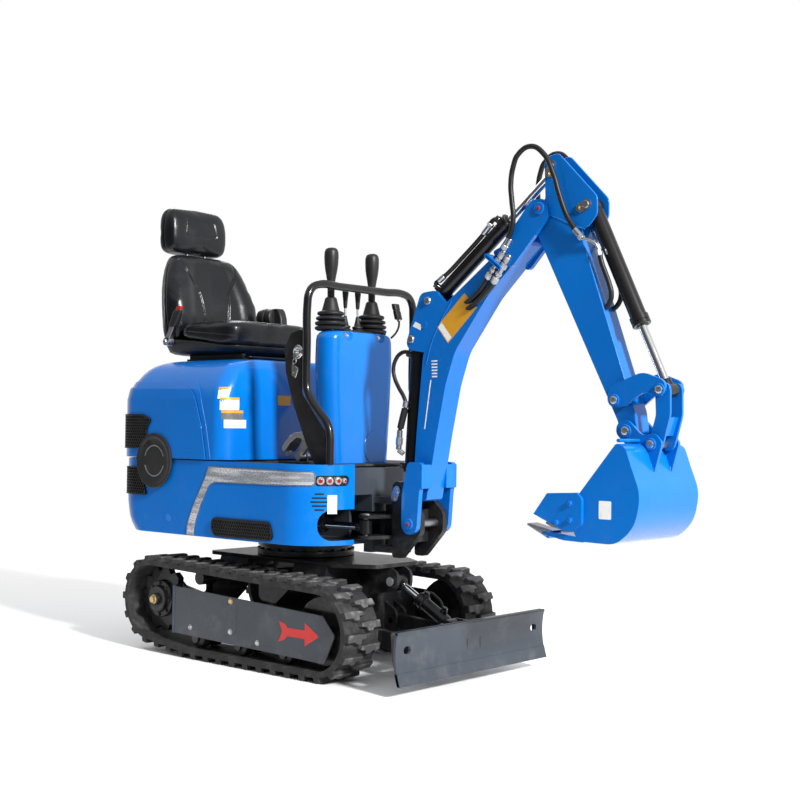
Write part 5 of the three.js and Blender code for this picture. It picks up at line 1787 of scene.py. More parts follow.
@dataclass
class Seat:
    """The seat: pan and rails, three padded pieces in vinyl, buckle and belt reel."""

    voxel: float = 5.5
    pressure: float = 4.0
    frames: int = 16

    @staticmethod
    def _ring(x: Flat, half: float, z: float, power: float, dish: float = 0.0, count: int = 72) -> list[Vector]:
        """A rounded plan at one height.

        Args:
            x: its back and front.
            half: half its width.
            z: its height.
            power: how square its corners are, from 0, square, to 1, round.
            dish: how deep the middle of its front lies behind its sides.
            count: its points.

        Returns:
            The ring's places.
        """
        ring = []
        for i in range(count):
            turn = 2 * math.pi * i / count
            c, s = math.cos(turn), math.sin(turn)
            u = math.copysign(abs(c) ** power, c)
            v = math.copysign(abs(s) ** power, s)
            share = max(0.0, min(1.0, (abs(v) - 0.34) / 0.4))
            back = dish * (1 - share * share * (3 - 2 * share)) * max(0.0, u)
            ring.append(at((x[0] + x[1]) / 2 + (x[1] - x[0]) / 2 * u - back, half * v, z))
        return ring

    def _fill(self, core: bpy.types.Object, reach: float) -> bpy.types.Object:
        """Blow a core up with cloth simulation, no further than a reach.

        Args:
            core: the closed core, a little smaller than the pad.
            reach: how far a point may move, in millimetres.

        Returns:
            The filled pad.
        """
        Bench.modify(core, "REMESH", mode="VOXEL", voxel_size=self.voxel * MM)
        Bench.modify(core, "SMOOTH", factor=0.5, iterations=4)
        Bench.pick(core)
        cloth = core.modifiers.new("Cloth", "CLOTH")
        cloth.settings.quality = 5
        cloth.settings.mass = 0.3
        cloth.settings.tension_stiffness = cloth.settings.compression_stiffness = 14
        cloth.settings.shear_stiffness = 6
        cloth.settings.bending_stiffness = 4
        cloth.settings.use_pressure = True
        cloth.settings.uniform_pressure_force = self.pressure
        cloth.settings.effector_weights.gravity = 0
        cloth.point_cache.frame_start, cloth.point_cache.frame_end = 1, self.frames
        before = [vert.co.copy() for vert in core.data.vertices]
        for frame_number in range(1, self.frames + 1):
            bpy.context.scene.frame_set(frame_number)
        bpy.ops.object.modifier_apply(modifier=cloth.name)
        bpy.context.scene.frame_set(1)
        for vert, start in zip(core.data.vertices, before):
            moved = vert.co - start
            if moved.length > reach * MM:
                vert.co = start + moved * (reach * MM / moved.length)
        Bench.modify(core, "SMOOTH", factor=0.5, iterations=10)
        log.info("%s: filled by cloth simulation", core.name)
        return core

    @staticmethod
    def _press(
        pad: bpy.types.Object, lines: Sequence[Sequence[Flat]], deep: float, wide: float, plane: str, facing: Vector
    ) -> None:
        """Press sewn channels into a pad along lines on it.

        Args:
            pad: the pad.
            lines: each channel's points in the plane, in millimetres.
            deep: the channel's depth.
            wide: its half width.
            plane: "YZ" for lines drawn from the front, "XY" for lines drawn from above, "XZ" from the side.
            facing: the side that is pressed, as the way that it faces.
        """
        axes = {"YZ": (1, 2), "XY": (0, 1), "XZ": (0, 2)}[plane]
        origin = at(0, 0, 0)
        normals = [vert.normal.copy() for vert in pad.data.vertices]
        for vert, normal in zip(pad.data.vertices, normals):
            share = normal.dot(facing)
            if share < 0.2:
                continue
            flat = (vert.co - origin) / MM
            spot = Vector((flat[axes[0]], flat[axes[1]]))
            gap = min(Belt._gap(spot, Vector(a), Vector(b)) for line in lines for a, b in zip(line, line[1:]))
            if gap < wide * 3:
                vert.co -= facing * (deep * MM * math.exp(-((gap / wide) ** 2)) * min(1.0, share * 1.6))

    @staticmethod
    def _slope(piece: bpy.types.Object, still: float, seam: float, fall: float = 32) -> None:
        """Lower the front of the seam between the pan and the cushion.

        Args:
            piece: the pan or the cushion.
            still: the height that stays, in millimetres.
            seam: the height that falls the most.
            fall: how far it falls at the front.
        """
        origin = at(0, 0, 0)
        for vert in piece.data.vertices:
            flat = (vert.co - origin) / MM
            ahead = max(0.0, min(1.0, (flat.x + 520) / 260))
            share = max(0.0, min(1.0, (flat.z - still) / (seam - still)))
            vert.co.z -= fall * MM * share * ahead * ahead * (3 - 2 * ahead)

    def _pan(self) -> None:
        """The black moulded pan, its rails and the bolt on its side."""
        levels = ((1166, (-606, -250), 176, 0.36), (1170, (-628, -226), 194, 0.30), (1178, (-640, -210), 208, 0.27),
                  (1205, (-648, -199), 218, 0.25), (1224, (-650, -196), 221, 0.25), (1227.6, (-647, -199), 218, 0.25))
        pan = Bench.loft("seat_pan", [self._ring(x, half, z, power) for z, x, half, power in levels])
        self._slope(pan, 1170, 1228)
        Bench.dress(Bench.soften(pan, 1.5, 2, 35), Finish.PLASTIC, "house", "seat_base", smooth=50)
        rails = []
        for y in (-135, 135):
            rails.append(Bench.soften(Bench.block("r", (-560, -215), (y - 15, y + 15), (1138.6, 1150)), 1.5))
            rails.append(Bench.soften(Bench.block("t", (-548, -228), (y - 10, y + 10), (1150, 1166.5)), 1.5))
        rails.append(Bench.tube("bar", [(-225, -128, 1154), (-206, -126, 1153), (-200, -110, 1152), (-200, 110, 1152),
                                        (-206, 126, 1153), (-225, 128, 1154)], 5, 3, 6))
        Bench.dress(Bench.join("seat_rails", *rails), Finish.BLACK, "house")
        bolts = [Bench.bolt("b", (-579, y, 1212), (0, y, 0), 9, 7) for y in (-216, 216)]
        Bench.dress(Bench.join("seat_bolts", *bolts), Finish.ZINC, "house", smooth=30)

    def _cushion(self) -> None:
        """The seat cushion: crowned, with a rolled front and a sewn middle panel."""
        levels = ((1229.2, (-520, -206), 212, 0.26), (1234, (-531, -196), 222, 0.24), (1252, (-536, -190), 226, 0.23),
                  (1268, (-535, -191), 226, 0.24), (1280, (-530, -197), 220, 0.27), (1288, (-516, -212), 206, 0.31),
                  (1292, (-496, -236), 184, 0.36))
        core = Bench.loft("seat_cushion_pad", [self._ring(x, half, z, power) for z, x, half, power in levels])
        pad = self._fill(core, 5)
        self._slope(pad, 1264, 1228)
        Bench.modify(pad, "SUBSURF", levels=1, render_levels=1)
        seams = [[(-506, -92), (-300, -100), (-226, -118)], [(-506, 92), (-300, 100), (-226, 118)],
                 [(-226, -118), (-218, 0), (-226, 118)]]
        self._press(pad, seams, 5, 4.5, "XY", Vector((0, 0, 1)))
        side = [[(-530, 1262), (-200, 1228)]]
        for way in (-1, 1):
            self._press(pad, side, 2.5, 3.0, "XZ", Vector((0, way, 0)))
        Bench.dress(pad, Finish.VINYL, "house", "seat_cushion", smooth=80)

    def _backrest(self) -> None:
        """The backrest: a shaped shell pad with bolsters and two sewn seams."""
        levels = ((1229.5, (-634, -552), 208, 0.28, 12), (1236, (-644, -541), 218, 0.26, 16),
                  (1280, (-652, -534), 225, 0.25, 24), (1330, (-657, -532), 227, 0.25, 30), (1390, (-666, -542), 224, 0.26, 30),
                  (1440, (-677, -560), 216, 0.28, 26), (1490, (-687, -580), 203, 0.30, 20), (1530, (-694, -596), 189, 0.33, 14),
                  (1560, (-699, -610), 174, 0.37, 8), (1580, (-701, -624), 160, 0.42, 3), (1591, (-699, -640), 143, 0.48, 0),
                  (1595, (-692, -656), 120, 0.5, 0))
        core = Bench.loft("seat_backrest_pad", [self._ring(x, half, z, power, dish) for z, x, half, power, dish in levels])
        pad = self._fill(core, 5)
        Bench.modify(pad, "SUBSURF", levels=1, render_levels=1)
        left = [(146, 1566), (132, 1520), (78, 1432), (60, 1310), (54, 1236)]
        self._press(pad, [left, [(-y, z) for y, z in left]], 6, 4.5, "YZ", Vector((0.98, 0, 0.2)))
        edge = [[(-592, 1236), (-598, 1330), (-618, 1440), (-650, 1540)]]
        for way in (-1, 1):
            self._press(pad, edge, 3, 3.2, "XZ", Vector((0, way, 0)))
        Bench.dress(pad, Finish.VINYL, "house", "seat_backrest", smooth=80)

    def _headrest(self) -> None:
        """The headrest: a crowned block with a piped panel, on two stems."""
        levels = ((1603, (-748, -690), 108, 0.36), (1606, (-758, -676), 124, 0.33), (1616, (-766, -666), 139, 0.31),
                  (1634, (-769, -661), 147, 0.30), (1666, (-770, -659), 151, 0.29), (1710, (-770, -660), 151, 0.29),
                  (1748, (-769, -666), 148, 0.30), (1774, (-765, -676), 141, 0.32), (1790, (-757, -690), 128, 0.35),
                  (1798, (-744, -706), 108, 0.40))
        core = Bench.loft("seat_headrest_pad", [self._ring(x, half, z, power) for z, x, half, power in levels])
        pad = self._fill(core, 5)
        Bench.modify(pad, "SUBSURF", levels=1, render_levels=1)
        panel = rounded([(-86, 1678, 12), (86, 1678, 12), (72, 1748, 12), (-72, 1748, 12)], 3)
        panel.append(panel[0])
        facing = Vector((1, 0, 0))
        self._press(pad, [panel], 4.5, 4, "YZ", facing)
        origin = at(0, 0, 0)
        for vert in pad.data.vertices:
            flat = (vert.co - origin) / MM
            if vert.normal.x > 0.3 and abs(flat.y) < 80 - (flat.z - 1678) * 0.2 and abs(flat.z - 1713) < 33:
                vert.co.x -= 3 * MM
        self._press(pad, [[(-722, 1606), (-722, 1790)]], 3, 3.2, "XZ", Vector((0, -1, 0)))
        self._press(pad, [[(-722, 1606), (-722, 1790)]], 3, 3.2, "XZ", Vector((0, 1, 0)))
        Bench.dress(pad, Finish.VINYL, "house", "headrest", smooth=80)
        stems = [Bench.rod("s", (-681, y, 1562), (-703, y, 1622), 7.5, 24) for y in (-48, 48)]
        Bench.dress(Bench.join("headrest_stems", *stems), Finish.STEEL, "house", smooth=40)

    def _belt(self) -> None:
        """The buckle with its red button and bracket, and the belt reel on the other side."""
        rings = []
        for lift, wide, deep in ((0, 34, 16), (5, 44, 22), (46, 50, 24), (62, 46, 22), (68, 38, 16)):
            rings.append([at(-532 + lift * 0.5 + x, -247 + y, 1276 + lift) for x, y in oval(0, 0, wide, deep)])
        Bench.dress(Bench.soften(Bench.loft("buckle", rings), 2, 3), Finish.PLASTIC, "house")
        button = [[at(-500 + lift * 0.5 + x, -247 + y, 1336 + lift) for x, y in oval(0, 0, w, 18)]
                  for lift, w in ((0, 34), (16, 34), (22, 28))]
        Bench.dress(Bench.soften(Bench.loft("buckle_button", button), 1.5, 2), Finish.RED_CAP, "house")
        strap = Bench.soften(Bench.slab("strap", [(-584, 1222), (-560, 1216), (-520, 1284), (-544, 1290)], -250, -245), 1, 1)
        bend = Bench.soften(Bench.slab("bend", oval(-572, 1219, 40, 32), -250, -224), 2.5)
        nut = Bench.bolt("nut", (-572, -250, 1219), (0, -1, 0), 9, 8)
        Bench.dress(Bench.join("buckle_bracket", strap, bend, nut), Finish.ZINC, "house")
        reel = [(0, 26), (4, 38), (34, 42), (40, 39), (42, 33), (50, 33), (52, 39), (74, 37), (82, 24)]
        core = Bench.turned("reel", reel, (-500, 205, 1338), (-440, 211, 1340), 36)
        case = [[at(-436 + grow * 0.2 + x, 224 + y, z)
                 for x, y in rounded([(-58 + grow, -20, 8), (58 - grow, -20, 8), (58 - grow, 20, 8), (-58 + grow, 20, 8)], 4)]
                for z, grow in ((1290, 0), (1296, -3), (1336, 2), (1362, 14), (1378, 30))]
        stay = Bench.soften(Bench.slab("stay", [(-470, 1216), (-440, 1216), (-420, 1300), (-452, 1300)], 226, 230), 1)
        Bench.dress(Bench.join("belt_reel", core, Bench.soften(Bench.loft("case", case), 4, 3), stay), Finish.PLASTIC,
                    "house", smooth=45)

    def build(self) -> None:
        """Model and dress the seat."""
        self._pan()
        self._cushion()
        self._backrest()
        self._headrest()
        self._belt()


# ---------------------------------------------------------------- front attachment


def keeper(name: str, body: str, x: float, z: float, y: float, turn: float, cap: Finish = Finish.ZINC) -> None:
    """A pin's oval keeper plate with its bolt, on both sides of the machine.

    Args:
        name: the pieces' name.
        body: what they ride on.
        x: the pin's place.
        z: the pin's height.
        y: the plate's seat on the left side.
        turn: the way that the plate's long side points, in degrees.
        cap: the plate's finish.
    """
    a = math.radians(turn)
    along = Vector((math.cos(a), math.sin(a)))
    side = Vector((-along.y, along.x))
    shape = oval(10, 0, 58, 32, 8)
    flat = [tuple(Vector((x, z)) + along * u + side * v) for u, v in shape]
    plates, bolts = [], []
    for way in (-1, 1):
        low, high = sorted((way * y, way * (y + 5)))
        plates.append(Bench.soften(Bench.slab("p", flat, low, high), 1.2, 2))
        plates.append(Bench.pin("e", x, z, tuple(sorted((way * (y + 4), way * (y + 9)))), 12, 32, 1.5))
        spot = Vector((x, z)) + along * 28
        bolts.append(Bench.bolt("b", (spot.x, way * (y + 5), spot.y), (0, way, 0), 6, 6))
    Bench.dress(Bench.join(name + "_keepers", *plates), cap, body, smooth=35)
    Bench.dress(Bench.join(name + "_keeper_bolts", *bolts), Finish.BRASS, body, smooth=30)


def eye_pin(name: str, body: str, x: float, z: float, half: float, radius: float, red: bool = False) -> None:
    """A pin through two plates with a boss ring and a domed end on each side.

    Args:
        name: the pieces' name.
        body: what they ride on.
        x: the pin's place.
        z: the pin's height.
        half: where the plates' outer faces are.
        radius: the pin's radius.
        red: whether its ends have small red grease caps, or else plain bright domes.
    """
    parts, rims = [Bench.pin("p", x, z, (-half - 3, half + 3), radius, 36, 1.2)], []
    for way in (-1, 1):
        start, end = (x, way * (half - 1), z), (x, way * (half + 30), z)
        rims.append(Bench.turned("w", [(0, radius + 7), (4, radius + 7), (6, radius + 5), (6, radius)], start, end, 40))
    Bench.dress(Bench.join(name + "_pin", *parts), Finish.STEEL, body, smooth=35)
    Bench.dress(Bench.join(name + "_bosses", *rims), Finish.BLUE, body, smooth=35)
    share = 0.5 if red else 1.0
    dome = [(0, radius * share), (2, radius * share), (4, radius * share - 2), (4.8, radius * share * 0.4)]
    caps = [Bench.turned("c", dome, (x, way * (half + 3.5), z), (x, way * (half + 30), z), 28) for way in (-1, 1)]
    Bench.dress(Bench.join(name + "_caps", *caps), Finish.RED_CAP if red else Finish.ZINC, body, smooth=40)


@dataclass
class SwingPost:
    """The swing bracket on the house's front, with its post pin and ram."""

    axis: float = 475

    def build(self) -> None:
        """Model and dress the bracket, the pins and the swing ram."""
        bracket = Bench.refined("swing_bracket", "swing_casting", 3, 3)
        Bench.dress(bracket, Finish.BLACK, "swing_bracket", "swing_bracket")
        cap = Bench.turned("cap", [(0, 30), (4, 30), (6, 27), (6, 12)], (self.axis, 0, 628.5), (self.axis, 0, 700), 40)
        bolts = [Bench.bolt("b", (self.axis + 20 * math.cos(t), 20 * math.sin(t), 634), (0, 0, 1), 5, 5)
                 for t in (0.5, 2.6, 4.7)]
        Bench.dress(Bench.join("post_cap", cap, *bolts), Finish.ZINC, "house", smooth=35)
        keeper("boom_ram_foot", "swing_bracket", 537, 654, 74.3, 250)
        plate = Bench.soften(Bench.slab("ear_plate", rounded([(430, -166, 20), (476, -166, 20), (476, -136, 18),
                                                              (430, -136, 18)]), 566.6, 569.6, "Z"), 0.8)
        nut = Bench.bolt("nut", (455, -150, 569.4), (0, 0, 1), 13, 2)
        pin = Bench.rod("pin", (455, -150, 479), (455, -150, 570), 11, 28)
        Bench.dress(Bench.join("swing_ram_pin", plate, nut, pin), Finish.ZINC, "swing_bracket", smooth=35)
        Ram("swing_ram", (-85, -215, 524), (455, -150, 524), 360, "swing_ram_cylinder", "swing_ram_rod", 27, 14, 200).build()


@dataclass
class Boom:
    """The boom: a folded box girder with ears, its ram, the pipework on its side and blank films."""

    half: float = 44
    foot: Flat = (613, 540)
    tip: Flat = (1138, 1615)

    def _girder(self) -> None:
        """The girder, with a hole in the ears."""
        body = Bench.refined("boom", "boom_girder", 4, 3)
        Bench.carve(body, Bench.pin("hole", 630, 1249, (-70, 70), 11, 32, 0.1))
        Bench.dress(body, Finish.BLUE, "boom", "boom", smooth=35)
        rim = [Bench.turned("r", [(0, 15), (1.2, 15), (1.8, 14), (1.8, 11)], (630, way * (self.half - 0.2), 1249),
                            (630, way * 80, 1249), 32) for way in (-1, 1)]
        Bench.dress(Bench.join("ear_hole_rim", *rim), Finish.BLUE, "boom")
        beads = []
        for way in (-1, 1):
            line = [(642, 1110), (664, 1180), (702, 1252), (756, 1330)]
            beads.append(Bench.tube("w", [(x, way * (self.half - 0.4), z) for x, z in line], 2.6, 2, 6))
        Bench.dress(Bench.join("girder_welds", *beads), Finish.BLUE, "boom", smooth=70)

    def _pins(self) -> None:
        """The pins at the foot, the ears and the tip."""
        eye_pin("boom_foot", "boom", *self.foot, 97, 14, True)
        eye_pin("boom_tip", "boom", *self.tip, 59, 14, True)
        for name, x, z in (("boom_ram_head", 569, 1200), ("arm_ram_base", 645, 1335)):
            heads = [Bench.turned("h", [(0, 15), (3, 15), (4, 14), (7.5, 12.5), (9, 9)], (x, way * (self.half - 0.4), z),
                                  (x, way * 80, z), 40) for way in (-1, 1)]
            heads.append(Bench.pin("p", x, z, (-40, 40), 12, 28))
            Bench.dress(Bench.join(name + "_pin", *heads), Finish.ZINC, "boom", smooth=35)

    def _films(self) -> None:
        """Blank films on the girder's sides."""
        for way, tag in ((-1, "right"), (1, "left")):
            low, high = sorted((way * (self.half + 0.1), way * (self.half + 0.7)))
            field_ = [(690, 1241), (741, 1180), (868, 1300), (813, 1353)]
            Bench.dress(Bench.slab("film_amber_" + tag, field_, low, high), Finish.AMBER_LABEL, "boom")
            low, high = sorted((way * (self.half + 0.6), way * (self.half + 1.0)))
            patch = [(696, 1239), (741, 1186), (757, 1201), (712, 1254)]
            Bench.dress(Bench.slab("film_white_" + tag, patch, low, high), Finish.WHITE_LABEL, "boom")
            low, high = sorted((way * (self.half + 0.1), way * (self.half + 0.7)))
            ear = [(576, 1247), (588, 1263), (622, 1249), (612, 1232)]
            Bench.dress(Bench.slab("film_ear_" + tag, ear, low, high), Finish.WHITE_LABEL, "boom")
            bars = [Bench.slab("b", [(667 + i * 0.6, 1122 - i * 11), (693 + i * 0.2, 1122 - i * 11),
                                     (692 + i * 0.2, 1117 - i * 11), (666 + i * 0.6, 1117 - i * 11)], low, high) for i in range(6)]
            bars.append(Bench.slab("b", [(636, 878), (640, 878), (666, 1052), (662, 1052)], low, high))
            Bench.dress(Bench.join("film_bars_" + tag, *bars), Finish.WHITE_LABEL, "boom")

    def _pipework(self) -> None:
        """The fittings and blue bracket on the right side, and the hoses that run from them."""
        y = -self.half - 17
        axis = Vector((0.62, 0, 0.785))
        parts, nuts = [], []
        for across_, start in ((-9, (925, y, 1392)), (13, (949, y, 1376))):
            base = Vector(start)
            parts.append(Bench.rod("n", tuple(base), tuple(base + axis * 118), 8.5, 28))
            for low, high, radius in ((4, 26, 12.5), (34, 46, 11.5), (62, 84, 13), (88, 108, 12)):
                nuts.append(Bench.turned("h", [(low, radius - 1), (low + 1.5, radius), (high - 1.5, radius), (high, radius - 1)],
                                         start, tuple(base + axis * 200), 6))
        Bench.dress(Bench.join("pipe_fittings", *parts, *nuts), Finish.ZINC, "boom", smooth=30)
        clamp = Bench.soften(Bench.slab("clamp", rounded([(922, 1470, 8), (990, 1418, 8), (998, 1428, 8), (930, 1482, 8)]),
                                        y - 20, -self.half + 1), 2.5, 2)
        tongue = Bench.soften(Bench.slab("tongue", rounded([(930, 1486, 10), (1010, 1430, 10), (1024, 1490, 20),
                                                            (992, 1510, 16)]), -self.half - 5, -self.half + 1), 2)
        Bench.dress(Bench.join("pipe_bracket", clamp, tongue), Finish.BLUE, "boom")
        hoses = [Bench.tube("h", [(924, y, 1390), (900, y, 1362), (872, y + 6, 1342), (838, y + 16, 1326), (806, y + 28, 1322),
                                  (780, y + 34, 1338)], 9.5, 4, 6),
                 Bench.tube("h", [(950, y, 1375), (918, y, 1346), (884, y + 4, 1322), (850, y + 14, 1306), (812, y + 28, 1300),
                                  (780, y + 36, 1318)], 9.5, 4, 6)]
        Bench.dress(Bench.join("boom_hoses", *hoses), Finish.HOSE, "boom", smooth=60)
        twins = [Bench.rod("t", (1004, y, 1498), (1022, y, 1524), 11, 28), Bench.rod("u", (996, y, 1488), (1006, y, 1502), 13, 6)]
        Bench.dress(Bench.join("hose_ferrule", *twins), Finish.ZINC, "boom", smooth=30)

    def _rams(self) -> None:
        """The boom ram with its hose, and the arm ram with its pipe."""
        Ram("boom_ram", (569, 0, 1200), (537, 0, 654), 480, "boom_ram_cylinder", "boom_ram_rod", 27, 14, 260,
            ports=(-1, -0.35, 0)).build()
        loop = [(560, -24, 1146), (540, -32, 1156), (512, -34, 1152), (486, -34, 1128), (476, -34, 1094), (484, -34, 1060),
                (504, -34, 1026), (528, -34, 994), (538, -34, 968), (532, -33, 940), (518, -32, 900), (508, -31, 872)]
        Bench.dress(Bench.tube("boom_ram_hose", loop, 7.5, 4, 6), Finish.HOSE, "boom_ram_cylinder", smooth=60)
        sleeve = Bench.tube("boom_ram_sleeve", [(534, -33, 950), (522, -32, 914), (511, -31, 880)], 12.5, 5, 6)
        Bench.dress(sleeve, Finish.BOOT, "boom_ram_cylinder", smooth=60)
        ends = [Bench.rod("e", (541, -34, 978), (536, -34, 956), 11.5, 24), Bench.rod("f", (509, -31, 872), (503, -30, 802), 10.5, 24),
                Bench.rod("g", (508, -31, 846), (505, -30.4, 820), 13, 6), Bench.rod("k", (502, -30, 800), (520, -22, 786), 9, 24)]
        Bench.dress(Bench.join("boom_ram_fittings", *ends), Finish.ZINC, "boom_ram_cylinder", smooth=35)
        ram = Ram("arm_ram", (645, 0, 1335), (1171, 0, 1755), 420, "arm_ram_cylinder", "arm_ram_rod", 27, 14, 120,
                  ports=(-0.5, -0.62, 0.6))
        ram.build()
        line = [ram.beside(*spot) for spot in ((51, 25, -20), (56, 33, -27), (82, 30, -28), (130, 25, -28), (200, 24, -28),
                                               (300, 24, -28), (350, 27, -28), (384, 33, -28), (396, 27, -21))]
        Bench.dress(Bench.tube("arm_ram_hose", line, 8, 4, 6), Finish.HOSE, "arm_ram_cylinder", smooth=60)
        ferrule = [Bench.rod("e", ram.beside(322, 25, -28), ram.beside(366, 29.5, -28), 10.5, 24),
                   Bench.rod("f", ram.beside(358, 28.5, -28), ram.beside(370, 30, -28), 12.5, 6),
                   Bench.rod("g", ram.beside(74, 31, -28), ram.beside(104, 27.5, -28), 10.5, 24)]
        Bench.dress(Bench.join("arm_ram_fittings", *ferrule), Finish.ZINC, "arm_ram_cylinder", smooth=35)

    def build(self) -> None:
        """Model and dress the boom and the two rams on it."""
        self._girder()
        self._pins()
        self._films()
        self._pipework()
        self._rams()


@dataclass
class Arm:
    """The arm with its top plates, the bucket ram, the rockers and the link."""

    head: Flat = (1171, 1755)
    base: Flat = (1311, 1613)
    rocker: Flat = (1434, 978)
    rocker_end: Flat = (1596, 1010)
    link: Flat = (1567, 841)

    def _beam(self) -> None:
        """The folded beam and its pins."""
        body = Bench.refined("arm", "arm_beam", 4, 3)
        Bench.dress(body, Finish.BLUE, "arm", "arm", smooth=35)
        keeper("arm_ram_head", "arm", *self.head, 38, 255)
        keeper("bucket_ram_base", "arm", *self.base, 38, 200)
        bead = []
        for way in (-1, 1):
            line = [(1160, 1594), (1212, 1572), (1262, 1548), (1304, 1534)]
            bead.append(Bench.tube("w", [(x, way * 37.8, z) for x, z in line], 2.4, 2, 5))
        Bench.dress(Bench.join("arm_welds", *bead), Finish.BLUE, "arm", smooth=70)
        Bench.dress(Bench.pin("rocker_shaft", *self.rocker, (-45, 45), 16, 36, 1), Finish.ZINC, "arm", smooth=35)

    def _linkage(self) -> None:
        """The rockers, the link and their pins."""
        for side in Side:
            name = "rocker_link_" + side.tag
            Bench.dress(Bench.refined(name, "rocker_plate_" + side.tag, 2, 3), Finish.BLUE, "rocker", name, smooth=35)
        Bench.dress(Bench.refined("bucket_link", "link_plates", 2, 3), Finish.BLUE, "bucket_link", "bucket_link", smooth=35)
        eye_pin("rocker_foot", "rocker", *self.rocker, 58, 13)
        eye_pin("rocker_end", "rocker", *self.rocker_end, 58, 13)

    def _fittings(self) -> None:
        """The elbows at the hoses' lower ends and the hoses down the bucket ram."""
        for side in Side:
            s = side.value
            pipe = Bench.tube("p", [(1284, s * 53, 1524), (1304, s * 52, 1502), (1334, s * 49, 1492), (1352, s * 43, 1478),
                                    (1360, s * 38, 1456)], 5.5, 4, 6)
            nuts = [Bench.rod("n", (1276, s * 53, 1533), (1300, s * 52, 1507), 11, 24), Bench.rod("m", (1296, s * 52, 1511),
                    (1304, s * 52, 1502), 12.5, 6), Bench.rod("o", (1358, s * 39, 1464), (1362, s * 36, 1444), 11, 6)]
            Bench.dress(Bench.join("elbow_" + side.tag, pipe, *nuts), Finish.ZINC, "arm", smooth=40)
            drop = Bench.tube("drop_hose_" + side.tag, [(1361, s * 36, 1450), (1368, s * 34, 1420), (1382, s * 32, 1384),
                                                        (1396, s * 31, 1348), (1402, s * 29, 1320),
                                                        (1395, s * 26, 1292), (1372, s * 23, 1270)], 8.5, 4, 6)
            Bench.dress(drop, Finish.HOSE, "arm", smooth=60)

    def build(self) -> None:
        """Model and dress the arm, its linkage and the bucket ram."""
        self._beam()
        self._linkage()
        self._fittings()
        Ram("bucket_ram", (1311, 0, 1613), (1596, 0, 1010), 440, "bucket_ram_cylinder", "bucket_ram_rod", 27, 14, 150).build()


@dataclass
class Bucket:
    """The bucket: a rolled shell with side cutters, a lip and four teeth."""

    pin: Flat = (1477, 881)
    link: Flat = (1567, 841)
    half: float = 180

    def build(self) -> None:
        """Model and dress the bucket."""
        body = Bench.refined("bucket", "bucket_shell", 2, 2)
        Bench.dress(body, Finish.BLUE, "bucket", "bucket", smooth=32)
        bolts = [Bench.bolt("b", (x, way * (self.half + 12), z), (0, way, 0), 9, 8)
                 for way in (-1, 1) for x, z in ((1362, 654), (1363, 602), (1312, 592))]
        Bench.dress(Bench.join("cutter_bolts", *bolts), Finish.BLUE, "bucket", smooth=30)
        for way, tag in ((-1, "right"), (1, "left")):
            low, high = sorted((way * (self.half + 0.1), way * (self.half + 0.7)))
            Bench.dress(Bench.slab("bucket_film_" + tag, rounded([(1460, 610, 4), (1504, 610, 4), (1504, 666, 4),
                                                                  (1460, 666, 4)]), low, high), Finish.WHITE_LABEL, "bucket")
        for share in (-1, -1 / 3, 1 / 3, 1):
            y = share * (self.half - 26)
            cap = Bench.slab("tooth_%d" % round(3 * share + 3), [(1262, 541), (1282, 565), (1194, 583), (1187, 576)], y - 25, y + 25)
            Bench.dress(Bench.soften(cap, 3, 2), Finish.STEEL, "bucket")
        rim = Bench.tube("bucket_rim", [(1524, -176, 852), (1524, 0, 852), (1524, 176, 852)], 6, 3, 4)
        Bench.dress(rim, Finish.BLUE, "bucket", smooth=60)
        eye_pin("bucket_pivot", "bucket", *self.pin, 58, 14)
        eye_pin("bucket_link", "bucket", *self.link, 58, 13)


@dataclass
class CrossingHoses:
    """The two hoses that pass from the boom to the arm."""

    line: tuple[Point, ...] = ((1022, 74, 1524), (1036, 75, 1550), (1044, 76, 1590), (1038, 77, 1650), (1034, 78, 1705),
                               (1044, 78, 1765), (1062, 78, 1800), (1112, 76, 1822), (1164, 72, 1790), (1200, 68, 1720),
                               (1222, 64, 1650), (1246, 58, 1584), (1280, 53, 1528))
    radius: float = 9

    def build(self) -> None:
        """Model both hoses."""
        for side in Side:
            s = side.value
            hose = Bench.tube("crossing_hose_" + side.tag, [(x, s * y, z) for x, y, z in self.line], self.radius, 5, 10)
            hose.data.materials.clear()
            hose.data.materials.append(Finish.HOSE.material)
            Bench.pick(hose)
            bpy.ops.object.shade_smooth_by_angle(angle=math.radians(60))
            tuple(at(1040, s * 76, 1600))
            tuple(at(1210, s * 66, 1690))
            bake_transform(hose)
            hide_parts("hose_" + side.tag)
            log.info("%s: %d faces", hose.name, len(hose.data.polygons))


# ---------------------------------------------------------------- studio


